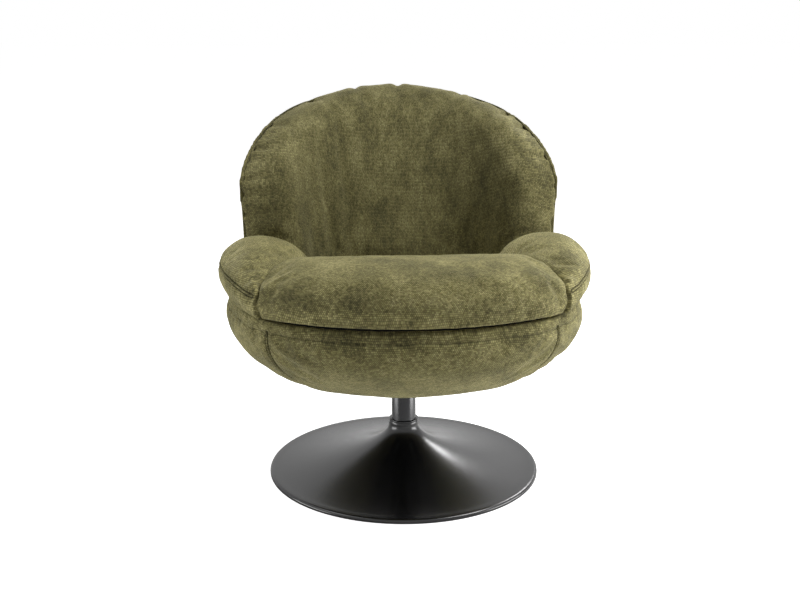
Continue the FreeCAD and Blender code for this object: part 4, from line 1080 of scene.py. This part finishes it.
def stitchShape():
    bpy.ops.mesh.primitive_cylinder_add(vertices=6, radius=stitch["radius"], depth=stitch["length"] * 0.7)
    thread = bpy.context.object
    bpy.ops.object.mode_set(mode="EDIT")
    bpy.ops.mesh.select_all(action="SELECT")
    bpy.ops.mesh.subdivide(number_cuts=1)
    bpy.ops.object.mode_set(mode="OBJECT")
    co = coordinates(thread.data)
    half = stitch["length"] / 2
    ends = np.abs(co[:, 2]) > half * 0.6
    co[ends, 2] *= 1.35
    co[ends, :2] *= 0.35
    co[:, 0] += stitch["radius"] * (1 - (co[:, 2] / half) ** 2)
    faces = [tuple(p.vertices) for p in thread.data.polygons]
    bpy.data.objects.remove(thread)
    return co, faces


def sewLines(piece, lines, name):
    shape, faces = stitchShape()
    tree = surfaceTree(piece)
    points = []
    loops = []
    pitch = stitch["length"] + stitch["gap"]
    for line in lines:
        walked = 0.0
        for start, end in zip(line, line[1:]):
            walked += (end - start).length
            if walked < pitch:
                continue
            walked = 0.0
            along = (end - start).normalized()
            normal = tree.find_nearest(start)[1]
            across = normal.cross(along).normalized()
            for side in (-1, 1):
                beside = start + across * side * seam["spacing"] / 2
                spot, normal = tree.find_nearest(beside)[:2]
                turn = Matrix((normal, along.cross(normal), along)).transposed()
                place = np.array(spot + normal * (stitch["radius"] - stitch["sink"]))
                first = len(points) * len(shape)
                points.append(shape @ np.array(turn).T + place)
                loops += [tuple(first + k for k in face) for face in faces]
    mesh = bpy.data.meshes.new(name)
    mesh.from_pydata(np.concatenate(points).tolist(), [], loops)
    thread = bpy.data.objects.new(name, mesh)
    scene.collection.objects.link(thread)
    finishPiece(thread, "chair", paintedShadePipingCover)
    print("sewn", name, len(points), "stitches")


# Camera, lamps and floor

view = {"place": (-0.1527, -2.1831, 0.9303), "tilt": 75.448, "turn": -3.80, "lens": 50.0}


def placeCamera():
    camera = bpy.data.cameras.new("camera")
    camera.lens = view["lens"]
    camera.sensor_width = 36.0
    holder = bpy.data.objects.new("camera", camera)
    holder.location = view["place"]
    holder.rotation_euler = (math.radians(view["tilt"]), 0, math.radians(view["turn"]))
    scene.collection.objects.link(holder)
    scene.camera = holder


studio = {
    "world": 0.13,
    "floor": (0.86, 0.86, 0.86),
    "floorGlow": 0.89,           # keeps the floor white for the camera, so only the shadow shows
    "keyLamp": ((1.7, -0.35, 3.0), (0, 0, 0.45), 118.0, 1.3, 1.3),
    "fillLamp": ((-1.5, -0.2, 2.6), (0, 0, 0.45), 20.0, 1.3, 1.3),
    "lowRight": ((1.35, -0.3, 0.18), (0, 0, 0.24), 10.0, 0.9, 0.30),
    "lowLeft": ((-1.35, -0.3, 0.18), (0, 0, 0.24), 7.0, 0.9, 0.30),
    "rimRight": ((1.3, 1.5, 1.5), (0.1, 0, 0.5), 26.0, 0.7, 0.7),
}


def addLamp(name, place, target, power, width, height):
    lamp = bpy.data.lights.new(name, "AREA")
    lamp.energy = power
    lamp.shape = "RECTANGLE"
    lamp.size = width
    lamp.size_y = height
    holder = bpy.data.objects.new(name, lamp)
    holder.location = place
    holder.rotation_euler = (Vector(target) - Vector(place)).to_track_quat("-Z", "Y").to_euler()
    scene.collection.objects.link(holder)


def makeStudio():
    world = bpy.data.worlds.new("studio")
    world.use_nodes = True
    scene.world = world
    tree = world.node_tree
    tree.nodes.clear()
    path = tree.nodes.new("ShaderNodeLightPath")
    seen = maths(tree, "MAXIMUM", path.outputs["Is Camera Ray"], path.outputs["Is Glossy Ray"])
    seen = maths(tree, "MAXIMUM", seen, path.outputs["Is Transmission Ray"])
    strength = maths(tree, "MULTIPLY_ADD", seen, 1 - studio["world"], studio["world"])
    sky = newNode(tree, "ShaderNodeBackground")
    sky.inputs["Color"].default_value = (1, 1, 1, 1)
    wire(tree, strength, sky, "Strength")
    tree.links.new(sky.outputs[0], tree.nodes.new("ShaderNodeOutputWorld").inputs["Surface"])
    for name in ("keyLamp", "fillLamp", "lowRight", "lowLeft", "rimRight"):
        addLamp(name, *studio[name])
    bpy.ops.mesh.primitive_plane_add(size=60, location=(0, 0, 0))
    floor = bpy.context.object
    floor.name = "studioFloor"
    material, tree, shader, place = startMaterial("paleFloor", Roughness=0.9)
    shader.inputs["Specular IOR Level"].default_value = 0.0
    shader.inputs["Base Color"].default_value = (*studio["floor"], 1)
    path = tree.nodes.new("ShaderNodeLightPath")
    glow = maths(tree, "MULTIPLY", path.outputs["Is Camera Ray"], studio["floorGlow"])
    shader.inputs["Emission Color"].default_value = (1, 1, 1, 1)
    wire(tree, glow, shader, "Emission Strength")
    floor.data.materials.append(material)
    scene.view_settings.view_transform = "Standard"
    print("studio made")


placeCamera()
makeStudio()
dressNodes()
makeBase()
makeColumn()
bowlCover, bowlLines = makeBowl()
seatCushion = makeSeat()
armRight, armRightLines = makeArm(1, "arm_right", "armRight")
armLeft, armLeftLines = makeArm(-1, "arm_left", "armLeft")
closeJoint(seatCushion, armRight, 1)
closeJoint(seatCushion, armLeft, -1)
backRearCover, rearLines = makeBack()
makePiping()
sewLines(bowlCover, bowlLines, "bowlStitches")
sewLines(armRight, armRightLines, "armStitchesRight")
sewLines(armLeft, armLeftLines, "armStitchesLeft")
sewLines(backRearCover, rearLines, "rearStitches")
